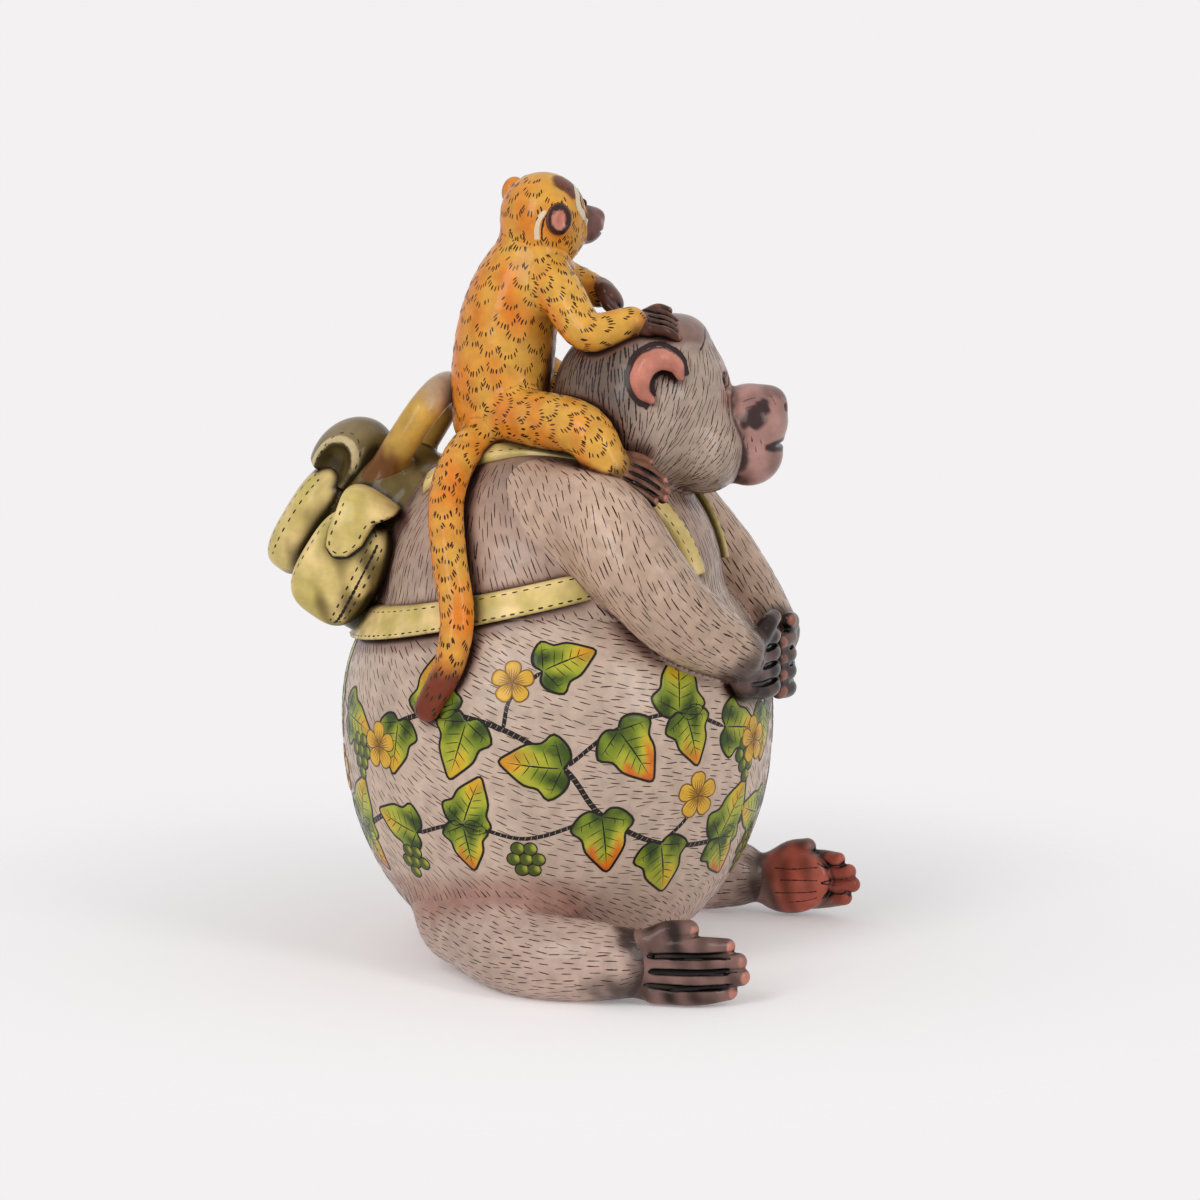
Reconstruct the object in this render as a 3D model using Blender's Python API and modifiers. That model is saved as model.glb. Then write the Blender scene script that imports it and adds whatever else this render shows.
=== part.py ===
"""Seated ape in painted ceramic, with a young monkey riding on its shoulders and a backpack on its back.

Sizes are in millimetres and are turned into metres when a shape is made. +Z is up, the ape faces +X, its
left is +Y, and the origin lies in the middle of the flat base that the figure stands on.
The figure is built as a potter builds it: each piece of clay is formed by itself and luted onto the one that
carries it, so every piece is cut to the face of its carrier, with a hairline of slip between them.
"""
import math
from functools import partial

import bmesh
import bpy
from mathutils import Matrix, Vector

MM = 0.001
RIGHT, LEFT = -1, 1                 # signs of y on the two sides of the figure
SLIP = 0.35                         # hairline between two luted pieces

# Belly pot: a turned, full-bodied profile that stands on a small flat base
BELLY_RADIUS = 81.0
BELLY_WIDEST = 92.0                 # height of the widest ring
BELLY_DROP = 96.0                   # half height of the curve below that ring
BELLY_RISE = 68.0                   # half height of the curve above it
BELLY_POWER = 2.2                   # 2 is an ellipse, more is fuller

TORSO_CENTRE = (-2.0, 0.0, 142.0)
TORSO_RADII = (64.0, 64.0, 58.0)

# Heads have their own frames: x runs out of the face, and the yaw turns it to the figure's left.
# Each lump of clay on them has a centre, radii and a number of segments round and up
HEAD_CENTRE = (39.0, 0.0, 208.0)
HEAD_YAW = 15.0
HEAD_LUMPS = {"skull": ((-4.5, 0, 3), (32, 32, 33.5), (20, 12)), "brow": ((9, 0, 27), (9, 18, 8), (12, 6)),
              "cheeks": ((17, 0, -13), (16, 27, 18), (16, 10)), "nape": ((-15, 0, 3), (24, 24, 28), (16, 8))}
MUZZLE_LUMPS = {"lips": ((35, 0, -4), (13.3, 16, 13), (12, 8)),
                "bridge": ((33, 0, 3.5), (9, 9, 5.2), (10, 6)),
                "nose": ((42, 0, 3), (5.5, 8, 5.5), (8, 6)),
                "chin": ((33.5, 0, -16), (13, 14.5, 12.5), (12, 6))}
MOUTH = ((49, 0, -12.5), (9, 13, 0.9))
EYE_SPREAD = 7.5
EYE_PLACE, EYE_RADII = (21.4, 12.0), (3.6, 3.6, 3.2)            # place in x and z
SOCKET_PLACE, SOCKET_RADII = (27.2, 12.0), (5.0, 5.0, 4.2)
EAR_CENTRE, EAR_REACH = (0.4, 32.2, 15.5), (7.5, 1.8, 8.0)      # the arc's middle and half sizes
EAR_ARC = ((8, 1.6), (45, 3.2), (90, 4.3), (130, 4.6), (170, 4.2), (210, 3.0), (243, 1.6))  # degrees, radius
YOUNG_HEAD_CENTRE = (-5.4, 0.0, 279.5)
YOUNG_HEAD_YAW = 43.0
YOUNG_HEAD_LUMPS = {"skull": ((0, 0, 0), (16, 16, 16), (16, 10)), "jaw": ((6, 0, -8), (10, 11, 9.5), (12, 6))}
YOUNG_MUZZLE = ((16.5, 0, -4.5), (8, 8, 7.5))
YOUNG_EYE_RADIUS = 2.2
YOUNG_EYE_SPREAD = 5.5
YOUNG_EAR_RADII = (5.0, 3.6, 6.0)
YOUNG_EAR_PLACE = {RIGHT: (-1.5, -15.5, 0), LEFT: (-4, 15.5, 7)}
YOUNG_SIZE = 0.58                   # of the young monkey's hands and feet against the ape's

# Limbs are swept through stations of x, y, z and radius
ARM_RIGHT = ((2, -31, 171, 20), (28, -47, 171.5, 19.5), (48, -57, 154, 17), (62, -52, 138, 15),
             (76, -31, 124, 11))
ARM_LEFT = ((0, 31, 168, 19), (21, 48, 170, 18), (41, 59, 150, 15.5), (58, 53, 133, 13.5),
            (75, 33, 120, 10.5))
LEG_RIGHT = ((-24, -45, 20, 17), (0, -67, 16, 17), (16, -76, 15, 16), (32, -78, 15, 15), (43, -78, 15, 13.5))
LEG_LEFT = ((-24, 45, 20, 17), (0, 67, 16, 17), (18, 77, 15, 16), (37, 79, 15, 14.5), (50, 79, 15, 12.5))
YOUNG_TORSO = ((-22, -4, 204, 17), (-20, -5, 220, 19), (-18, -4, 238, 18.5), (-14, -3, 252, 17),
               (-9, -1, 266, 12.5))
YOUNG_ARM_RIGHT = ((-2, -8, 258, 9), (6, -16, 252, 8.5), (18, -23, 239.5, 7.5), (33.5, -19, 243, 5.8))
YOUNG_ARM_LEFT = ((-4, 8, 256, 9), (-2, 13, 254, 8), (6, 15, 251, 6.8), (13, 12, 249.5, 5.6))
YOUNG_LEG_RIGHT = ((-18, -10, 204, 12), (-4, -23, 206, 11), (20, -38, 205, 9.8), (31, -41, 191.5, 7.8))
YOUNG_LEG_LEFT = ((-18, 6, 206, 12), (-34, 20, 221, 10), (-25, 37, 217, 9.5), (-6, 45, 206, 8.5),
                  (9, 47, 200, 7))
YOUNG_TAIL = ((-20, -14, 200, 7.2), (-27, -32, 194, 6.8), (-28, -52, 180, 6.6), (-23, -66, 160, 6.5),
              (-18, -73, 140, 6.3), (-20, -77, 122, 5.7), (-28, -78, 106, 4.9))

HAND_RIGHT = ((80.0, -20.0, 117.0), 76.0)           # place and yaw
HAND_LEFT = ((80.0, -21.0, 112.0), 74.0)            # as a right hand, then mirrored
FOOT_RIGHT = ((69.0, -74.0, 15.0), 10.0, 0.0, 1.0)  # place, yaw, lean and size
FOOT_LEFT = ((79.0, -77.0, 15.5), 8.0, -8.0, 0.9)   # as a right foot, then mirrored
YOUNG_HAND = {RIGHT: ((40, -14.5, 241.5), 21, 14, -66),         # place, yaw, lean and roll
              LEFT: ((18.8, 9.5, 247.5), -8, 46, 70)}
YOUNG_FOOT = {RIGHT: ((41, -39, 187.5), 8, 26, -40), LEFT: ((20, 47, 196), -10, 20, 40)}

# Hand and foot at the ape's size: half sizes of palm and instep, then the stations of the digits
PALM_CENTRE, PALM_RADII = (-3.0, 0.0, 0.0), (12.0, 6.5, 13.0)
THUMB = ((-4, -2.5, 8, 3.8), (3, -4.4, 14.5, 3.6), (10, -3.6, 16.5, 3))
FINGER = ((2, -1.5, 1.0, 3.6), (9, -2.6, 1.0, 3.7), (17, 0.2, 0.96, 3.0))    # x, y, share of z and radius
FINGER_PITCH, FIRST_FINGER = 6.4, 9.6
INSTEP_CENTRE, INSTEP_RADII = (-8.0, 0.0, -0.5), (19.0, 7.6, 14.5)
BIG_TOE = ((-15, -2, 8, 4.6), (-7, -2, 12, 4.4), (1, -2, 13.2, 3.8))
TOES = ((7.6, 15, 3.6), (1.6, 19, 3.9), (-4.4, 20, 4), (-10.2, 15.5, 4))    # place across, reach and radius

# Backpack frame: z runs up the pack, x runs out of the wearer's back towards its front, so the pack is at -x
PACK_PLACE = (-61.2, 0.0, 150.0)
PACK_LEAN = 32.0
PACK_RADII = (24.0, 28.5, 36.0)
PACK_CENTRE = (-6.0, 0.0, 2.0)
CANVAS_POWER = 3.0                  # stuffed canvas is a cushion with rounded corners
HANDLE_RADIUS = 6.2
HANDLE_SETBACK = -18.5
HANDLE_ARCH = ((-18, 22), (-18, 42), (-15.5, 54.5), (-8.5, 61), (0, 62.5))  # y and z up to the crest
POCKET_CENTRE, POCKET_RADII = (-34.5, 0.0, -7.0), (10.5, 22.0, 23.5)
LID_CENTRE, LID_RADII = (-33.5, 0.0, 18.0), (15.5, 19.5, 18.5)
LID_FOOT = 12.0                     # height of the lid's lower edge
LID_MOUTH = ((-37.5, 23.0, 17.0), (8.0, 12.0, 11.5))            # hollow at each end of the lid
SIDE_POCKET_CENTRE, SIDE_POCKET_RADII = (-10.5, 31.0, -8.0), (16.0, 9.5, 22.0)
FLAP_CENTRE, FLAP_RADII = (-11.0, 29.0, -4.0), (19.0, 14.2, 27.0)
FLAP_OUTLINE = ((-26, 26), (-3, 26), (-3, 21), (-7.5, 15), (-7, 6), (-9.5, -0.5), (-14, -3.6), (-18.5, -2),
                (-21, 3.5), (-22.5, 11), (-25.5, 19))           # x and z of the tongue

STRAP_THICKNESS = 3.0
LOWER_STRAP_WIDTH = 10.5
LOWER_STRAP_PLACE, LOWER_STRAP_LEAN = (0.0, 0.0, 144.0), -13.5
LOWER_STRAP_REACH = (-80.0, 34.0)   # along the flank, to the armpit
SHOULDER_STRAP_WIDTH = 8.0
SHOULDER_STRAP_PLACE, SHOULDER_STRAP_ROLL = (0.0, -21.0, 150.0), 9.0
SHOULDER_STRAP_REACH = (-44.0, 80.0)

FUR = (0.53, 0.43, 0.38)
SKIN = (0.075, 0.05, 0.045)
FACE = (0.30, 0.19, 0.17)
PINK = (0.60, 0.25, 0.19)
EYE = (0.02, 0.015, 0.012)
COAT = (0.72, 0.38, 0.06)
CANVAS = (0.50, 0.44, 0.20)
WEBBING = (0.42, 0.36, 0.14)
MUSTARD = (0.56, 0.35, 0.06)


def new_collection(name):
    collection = bpy.data.collections.new(name)
    bpy.context.scene.collection.children.link(collection)
    return collection


for old in list(bpy.data.objects):
    bpy.data.objects.remove(old)
PARTS = new_collection("monkey_sculpture")
CUTTERS = new_collection("cutters")


def glaze(name, colour):
    material = bpy.data.materials.new(name)
    material.use_nodes = True
    shader = material.node_tree.nodes["Principled BSDF"]
    shader.inputs["Base Color"].default_value = (*colour, 1.0)
    shader.inputs["Roughness"].default_value = 0.28
    shader.inputs["Metallic"].default_value = 0.0
    return material


def guide(name, mesh):
    """A shape in the cutter collection, which is not a piece of the figure."""
    obj = bpy.data.objects.new(name, mesh)
    obj.hide_render = True
    obj.display_type = "WIRE"
    CUTTERS.objects.link(obj)
    return obj


def evaluated_mesh(obj):
    bpy.context.view_layer.update()
    return bpy.data.meshes.new_from_object(obj.evaluated_get(bpy.context.evaluated_depsgraph_get()))


def settle(obj):
    """Apply an object's modifiers and weld what they leave loose."""
    mesh = evaluated_mesh(obj)
    welded = bmesh.new()
    welded.from_mesh(mesh)
    bmesh.ops.remove_doubles(welded, verts=welded.verts, dist=0.02 * MM)
    welded.to_mesh(mesh)
    welded.free()
    matrix = obj.matrix_world.copy()
    name = obj.name
    bpy.data.objects.remove(obj)
    result = guide(name, mesh)
    result.matrix_world = matrix
    return result


def combine(base, others, operation):
    """Boolean of base with each of the others, which are used up."""
    for other in others:
        modifier = base.modifiers.new(operation.lower(), "BOOLEAN")
        modifier.operation = operation
        modifier.object = other
    result = settle(base)
    for other in others:
        bpy.data.objects.remove(other)
    return result


def frame(place=(0, 0, 0), yaw=0.0, lean=0.0, roll=0.0):
    """Matrix of a local frame: turned by roll, then lean, then yaw, in degrees, and set at a place in mm."""
    turn = (Matrix.Rotation(math.radians(yaw), 4, "Z") @ Matrix.Rotation(math.radians(lean), 4, "Y")
            @ Matrix.Rotation(math.radians(roll), 4, "X"))
    return Matrix.Translation(Vector(place) * MM) @ turn


HEAD = frame(HEAD_CENTRE, HEAD_YAW)
YOUNG_HEAD = frame(YOUNG_HEAD_CENTRE, YOUNG_HEAD_YAW)
PACK = frame(PACK_PLACE, lean=PACK_LEAN)
WORLD = Matrix.Identity(4)


def swell(name, grow, centre, radii, power=2.0, place=WORLD, turn=(0, 0, 0), detail=(24, 12)):
    """Ellipsoid of clay, or with a higher power a cushion with rounded corners."""
    ball = bmesh.new()
    bmesh.ops.create_uvsphere(ball, u_segments=detail[0], v_segments=detail[1], radius=1.0)
    for vert in ball.verts:
        size = sum(abs(part) ** power for part in vert.co) ** (1.0 / power)
        vert.co = Vector([part / size * (radius + grow) * MM for part, radius in zip(vert.co, radii)])
    local = Matrix.Translation(Vector(centre) * MM)
    for angle, axis in zip(turn, "XYZ"):
        local = local @ Matrix.Rotation(math.radians(angle), 4, axis)
    bmesh.ops.transform(ball, matrix=place @ local, verts=ball.verts)
    mesh = bpy.data.meshes.new(name)
    ball.to_mesh(mesh)
    ball.free()
    return guide(name, mesh)


def smooth_path(stations, steps):
    """Catmull-Rom curve through the stations."""
    points = [Vector(station) for station in stations]
    ends = [points[0] * 2 - points[1]] + points + [points[-1] * 2 - points[-2]]
    path = []
    for a, b, c, d in zip(ends, ends[1:], ends[2:], ends[3:]):
        for step in range(steps):
            t = step / steps
            path.append(0.5 * (2 * b + (c - a) * t + (2 * a - 5 * b + 4 * c - d) * t * t
                               + (3 * b - a - 3 * c + d) * t ** 3))
    return path + [points[-1]]


def rounded_ends(path, angles):
    """Adds the stations of a half-round cap before the first and after the last one."""
    def cap(end, inner):
        away = (end.xyz - inner.xyz).normalized()
        stations = []
        for angle in angles:
            centre = end.xyz + away * end.w * math.sin(math.radians(angle))
            stations.append(Vector((*centre, end.w * math.cos(math.radians(angle)))))
        return stations
    return cap(path[0], path[1])[::-1] + path + cap(path[-1], path[-2])


def limb(name, grow, stations, place=WORLD, steps=3, resolution=2, caps=(42, 78)):
    """Roll of clay swept through stations of x, y, z and radius, with round ends."""
    grown = [(x, y, z, radius + grow) for x, y, z, radius in stations]
    path = rounded_ends(smooth_path(grown, steps), caps)
    curve = bpy.data.curves.new(name, "CURVE")
    curve.dimensions = "3D"
    curve.bevel_depth = MM
    curve.bevel_resolution = resolution
    curve.use_fill_caps = True
    spline = curve.splines.new("POLY")
    spline.points.add(len(path) - 1)
    for point, station in zip(spline.points, path):
        point.co = (*(station.xyz * MM), 1.0)
        point.radius = station.w
    obj = guide(name, curve)
    obj.matrix_world = place
    return settle(obj)


def digit(name, grow, stations, place, size):
    """Finger or toe: a short slim limb, given at the ape's size; the young monkey's are straight."""
    bends = stations[::2] if size == YOUNG_SIZE else stations
    return limb(name, grow, [scaled(bend, size) for bend in bends], place, steps=1, resolution=1, caps=(60,))


def mirror_object(obj):
    """Turns a right-hand form into the left-hand one."""
    obj.data.transform(Matrix.Diagonal((1, -1, 1, 1)) @ obj.matrix_world)
    obj.data.flip_normals()
    obj.matrix_world = WORLD
    return obj


def belly(name, grow):
    """Turned pot with a flat base, from a superellipse profile."""
    base_angle = math.asin((BELLY_WIDEST / BELLY_DROP) ** (BELLY_POWER / 2))
    steps = 13
    profile = []
    for step in range(steps + 1):
        angle = math.pi / 2 - step / steps * (math.pi / 2 + base_angle)
        radius = (BELLY_RADIUS + grow) * abs(math.cos(angle)) ** (2 / BELLY_POWER)
        half = BELLY_RISE if angle > 0 else BELLY_DROP
        height = BELLY_WIDEST + math.copysign(half + grow, angle) * abs(math.sin(angle)) ** (2 / BELLY_POWER)
        profile.append((radius * MM, 0.0, height * MM))
    profile[0] = (0.0, 0.0, profile[0][2])
    profile[-1] = (profile[-1][0], 0.0, -grow * MM)
    profile.append((0.0, 0.0, -grow * MM))
    mesh = bpy.data.meshes.new(name)
    mesh.from_pydata(profile, [(i, i + 1) for i in range(len(profile) - 1)], [])
    obj = guide(name, mesh)
    screw = obj.modifiers.new("turning", "SCREW")
    screw.steps = 32
    screw.render_steps = 32
    screw.use_merge_vertices = True
    screw.merge_threshold = 0.00001
    return settle(obj)


def torso(name, grow):
    return swell(name, grow, TORSO_CENTRE, TORSO_RADII, detail=(26, 12))


def lumps(name, grow, parts, place):
    """Several lumps of clay worked into one."""
    made = [swell(f"{name}_{label}", grow, centre, radii, place=place, detail=detail)
            for label, (centre, radii, detail) in parts.items()]
    whole = combine(made[0], made[1:], "UNION")
    whole.name = name
    return whole


def beside(place, spread, side):
    """Point at a place in x and z, a spread out to one side."""
    return (place[0], side * spread, place[1])


def head(name, grow):
    """Skull under a hood of fur, with a brow, full cheeks, a thick nape and two sunk eye sockets."""
    skull = lumps(name, grow, HEAD_LUMPS, HEAD)
    shallow = [radius - grow for radius in SOCKET_RADII]
    centres = [beside(SOCKET_PLACE, EYE_SPREAD, side) for side in (RIGHT, LEFT)]
    sockets = [swell("socket", 0.0, centre, shallow, place=HEAD, detail=(10, 6)) for centre in centres]
    return combine(skull, sockets, "DIFFERENCE")


def muzzle(name, grow):
    """Bare face below the brow: bridge, broad nose, lips and chin, with the mouth cut between the lips."""
    face = lumps(name, grow, MUZZLE_LUMPS, HEAD)
    if grow:
        return face
    mouth = swell("mouth", 0.0, *MOUTH, place=HEAD, detail=(12, 4))
    return combine(face, [mouth], "DIFFERENCE")


def ear(name, grow, side):
    """Crescent of clay round the hollow of the ear, open to the front and below."""
    stations = []
    for degrees, radius in EAR_ARC:
        along, up = math.cos(math.radians(degrees)), math.sin(math.radians(degrees))
        stations.append((EAR_CENTRE[0] + EAR_REACH[0] * along, side * (EAR_CENTRE[1] - EAR_REACH[1] * along),
                         EAR_CENTRE[2] + EAR_REACH[2] * up, radius))
    return limb(name, grow, stations, HEAD, steps=1, caps=(60,))


def eye(name, grow, side):
    return swell(name, grow, beside(EYE_PLACE, EYE_SPREAD, side), EYE_RADII, place=HEAD, detail=(10, 6))


def scaled(values, size):
    return tuple(value * size for value in values)


def hand_shapes(name, grow, place, size):
    """Palm, four fingers and a thumb; x runs along the fingers, z to the thumb side, y into the palm."""
    palm = swell(name, grow, scaled(PALM_CENTRE, size), scaled(PALM_RADII, size), place=place, detail=(10, 6))
    digits = [digit("thumb", grow, THUMB, place, size)]
    for index in range(4):
        across = FIRST_FINGER - FINGER_PITCH * index
        stations = [(x, y, across * share, radius) for x, y, share, radius in FINGER]
        digits.append(digit(f"finger_{index}", grow, stations, place, size))
    return combine(palm, digits, "UNION")


def ape_hand(name, grow, side):
    """Hand laid on the belly with the fingers pointing to the middle."""
    if side == RIGHT:
        return hand_shapes(name, grow, frame(*HAND_RIGHT), 1.0)
    return mirror_object(hand_shapes(name, grow, frame(*HAND_LEFT), 1.0))


def foot_shapes(name, grow, place, size):
    """Instep, four long toes and a big toe on top; x runs along the toes, z to the big toe, y to the sole."""
    centre, radii = scaled(INSTEP_CENTRE, size), scaled(INSTEP_RADII, size)
    instep = swell(name, grow, centre, radii, place=place, detail=(10, 6))
    digits = [digit("big_toe", grow, BIG_TOE, place, size)]
    for across, reach, radius in TOES:
        root, knuckle = (-12, -3.2, across, radius), (4, -4.4, across, radius + 0.2)
        tip = (reach, -1, across * 0.94, radius - 0.6)
        digits.append(digit("toe", grow, (root, knuckle, tip), place, size))
    return combine(instep, digits, "UNION")


def ape_foot(name, grow, side):
    """Foot standing on its outer edge with the sole turned in; the left one has its toes raised."""
    place, yaw, lean, size = FOOT_RIGHT if side == RIGHT else FOOT_LEFT
    foot = foot_shapes(name, grow, frame(place, yaw, lean), size)
    return foot if side == RIGHT else mirror_object(foot)


def pack_body(name, grow):
    """Stuffed sack, broad below and drawn in at the top."""
    return swell(name, grow, PACK_CENTRE, PACK_RADII, CANVAS_POWER, PACK, detail=(20, 12))


def rear_pocket(name, grow):
    return swell(name, grow, POCKET_CENTRE, POCKET_RADII, CANVAS_POWER, PACK, detail=(14, 10))


def block(name, low, high, place):
    """Plain box between two corners, used to trim other shapes."""
    low, high = Vector(low), Vector(high)
    cube = bmesh.new()
    bmesh.ops.create_cube(cube, size=1.0)
    bmesh.ops.scale(cube, vec=(high - low) * MM, verts=cube.verts)
    bmesh.ops.translate(cube, vec=(low + high) * 0.5 * MM, verts=cube.verts)
    mesh = bpy.data.meshes.new(name)
    cube.to_mesh(mesh)
    cube.free()
    box = guide(name, mesh)
    box.matrix_world = place
    return box


def rear_lid(name, grow):
    """Domed lid over the mouth of the rear pocket, hollow at its two ends."""
    dome = swell(name, grow, LID_CENTRE, LID_RADII, place=PACK, detail=(16, 10))
    foot = block("lid_foot", (-90, -60, -60), (30, 60, LID_FOOT - grow), PACK)
    (x, y, z), radii = LID_MOUTH
    mouths = [] if grow else [swell("mouth", 0.0, (x, side * y, z), radii, place=PACK, detail=(12, 8))
                              for side in (RIGHT, LEFT)]
    return combine(dome, [foot] + mouths, "DIFFERENCE")


def side_pocket(name, grow, side):
    x, y, z = SIDE_POCKET_CENTRE
    return swell(name, grow, (x, side * y, z), SIDE_POCKET_RADII, CANVAS_POWER, PACK, detail=(12, 8))


def side_flap(name, grow, side):
    """Tongue of the sheet that falls from the sack over the mouth of the side pocket."""
    x, y, z = FLAP_CENTRE
    sheet = swell(f"{name}_sheet", grow, (x, side * y, z), FLAP_RADII, CANVAS_POWER, PACK, detail=(16, 10))
    outline = bmesh.new()
    rim = [outline.verts.new(Vector((x, -60, z)) * MM) for x, z in FLAP_OUTLINE]
    face = outline.faces.new(rim)
    sweep = bmesh.ops.extrude_face_region(outline, geom=[face])
    moved = [part for part in sweep["geom"] if isinstance(part, bmesh.types.BMVert)]
    bmesh.ops.translate(outline, vec=(0, 120 * MM, 0), verts=moved)
    bmesh.ops.recalc_face_normals(outline, faces=outline.faces)
    mesh = bpy.data.meshes.new(name)
    outline.to_mesh(mesh)
    outline.free()
    tongue = guide(f"{name}_tongue", mesh)
    tongue.matrix_world = PACK
    flap = combine(sheet, [tongue], "INTERSECT")
    flap.name = name
    return flap


def carry_handle(name, grow):
    """Arched tube whose feet stand on the top of the sack."""
    climb = [(HANDLE_SETBACK, y, z, HANDLE_RADIUS) for y, z in HANDLE_ARCH]
    fall = [(x, -y, z, radius) for x, y, z, radius in reversed(climb[:-1])]
    return limb(name, grow, climb + fall, PACK, 2)


def band(name, grow, place, low, high, carriers):
    """Strap lying on the body: the part of a slightly larger body inside a slab of the strap's width."""
    skins = [carrier(f"{name}_skin", STRAP_THICKNESS + grow) for carrier in carriers]
    skin = combine(skins[0], skins[1:], "UNION")
    margin = Vector((grow, grow, grow))
    slab = block(f"{name}_slab", Vector(low) - margin, Vector(high) + margin, place)
    strap = combine(skin, [slab], "INTERSECT")
    strap.name = name
    return strap


def lower_strap(name, grow, side):
    """Band round the flank, from the foot of the pack to the armpit."""
    half = LOWER_STRAP_WIDTH / 2
    start, end = LOWER_STRAP_REACH
    place = frame(LOWER_STRAP_PLACE, lean=LOWER_STRAP_LEAN)
    right = band(name, grow, place, (start, -90, -half), (end, -20, half), (torso, belly))
    return right if side == RIGHT else mirror_object(right)


def shoulder_strap(name, grow, side):
    """Band over the shoulder, from the top of the pack down the chest."""
    half = SHOULDER_STRAP_WIDTH / 2
    start, end = SHOULDER_STRAP_REACH
    place = frame(SHOULDER_STRAP_PLACE, roll=SHOULDER_STRAP_ROLL)
    right = band(name, grow, place, (start, -half, 0), (end, half, 70), (torso,))
    return right if side == RIGHT else mirror_object(right)


def young_head(name, grow):
    return lumps(name, grow, YOUNG_HEAD_LUMPS, YOUNG_HEAD)


def young_muzzle(name, grow):
    return swell(name, grow, *YOUNG_MUZZLE, place=YOUNG_HEAD, detail=(10, 6))


def young_ear(name, grow, side):
    return swell(name, grow, YOUNG_EAR_PLACE[side], YOUNG_EAR_RADII, place=YOUNG_HEAD, turn=(0, 0, side * 20),
                 detail=(10, 6))


def young_eye(name, grow, side):
    centre = beside((14.2, 4.2), YOUNG_EYE_SPREAD, side)
    return swell(name, grow, centre, [YOUNG_EYE_RADIUS] * 3, place=YOUNG_HEAD, detail=(10, 6))


def young_hand(name, grow, side):
    """Small hand laid on the crown of the ape's head."""
    return hand_shapes(name, grow, frame(*YOUNG_HAND[side]), YOUNG_SIZE)


def young_foot(name, grow, side):
    return foot_shapes(name, grow, frame(*YOUNG_FOOT[side]), YOUNG_SIZE)


def ground(name, grow):
    """Everything below the surface that the figure stands on."""
    return block(name, (-200, -200, -400), (200, 200, 0), WORLD)


def pair(form, right_name, left_name):
    return {right_name: partial(form, side=RIGHT), left_name: partial(form, side=LEFT)}


FORMS = {
    "belly": belly, "torso": torso, "head": head, "muzzle": muzzle, "ground": ground,
    "arm_right": partial(limb, stations=ARM_RIGHT), "arm_left": partial(limb, stations=ARM_LEFT),
    "leg_right": partial(limb, stations=LEG_RIGHT), "leg_left": partial(limb, stations=LEG_LEFT),
    "backpack_body": pack_body, "rear_pocket": rear_pocket, "rear_pocket_lid": rear_lid,
    "carry_handle": carry_handle,
    "young_torso": partial(limb, stations=YOUNG_TORSO, resolution=3), "young_head": young_head,
    "young_muzzle": young_muzzle,
    "young_arm_right": partial(limb, stations=YOUNG_ARM_RIGHT),
    "young_arm_left": partial(limb, stations=YOUNG_ARM_LEFT),
    "young_leg_right": partial(limb, stations=YOUNG_LEG_RIGHT),
    "young_leg_left": partial(limb, stations=YOUNG_LEG_LEFT),
    "young_tail": partial(limb, stations=YOUNG_TAIL, steps=2),
    **pair(ear, "ear_right", "ear_left"), **pair(eye, "eye_right", "eye_left"),
    **pair(ape_hand, "hand_right", "hand_left"), **pair(ape_foot, "foot_right", "foot_left"),
    **pair(side_pocket, "side_pocket_right", "side_pocket_left"),
    **pair(side_flap, "side_flap_right", "side_flap_left"),
    **pair(lower_strap, "lower_strap_right", "lower_strap_left"),
    **pair(shoulder_strap, "shoulder_strap_right", "shoulder_strap_left"),
    **pair(young_ear, "young_ear_right", "young_ear_left"),
    **pair(young_eye, "young_eye_right", "young_eye_left"),
    **pair(young_hand, "young_hand_right", "young_hand_left"),
    **pair(young_foot, "young_foot_right", "young_foot_left"),
}

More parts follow.
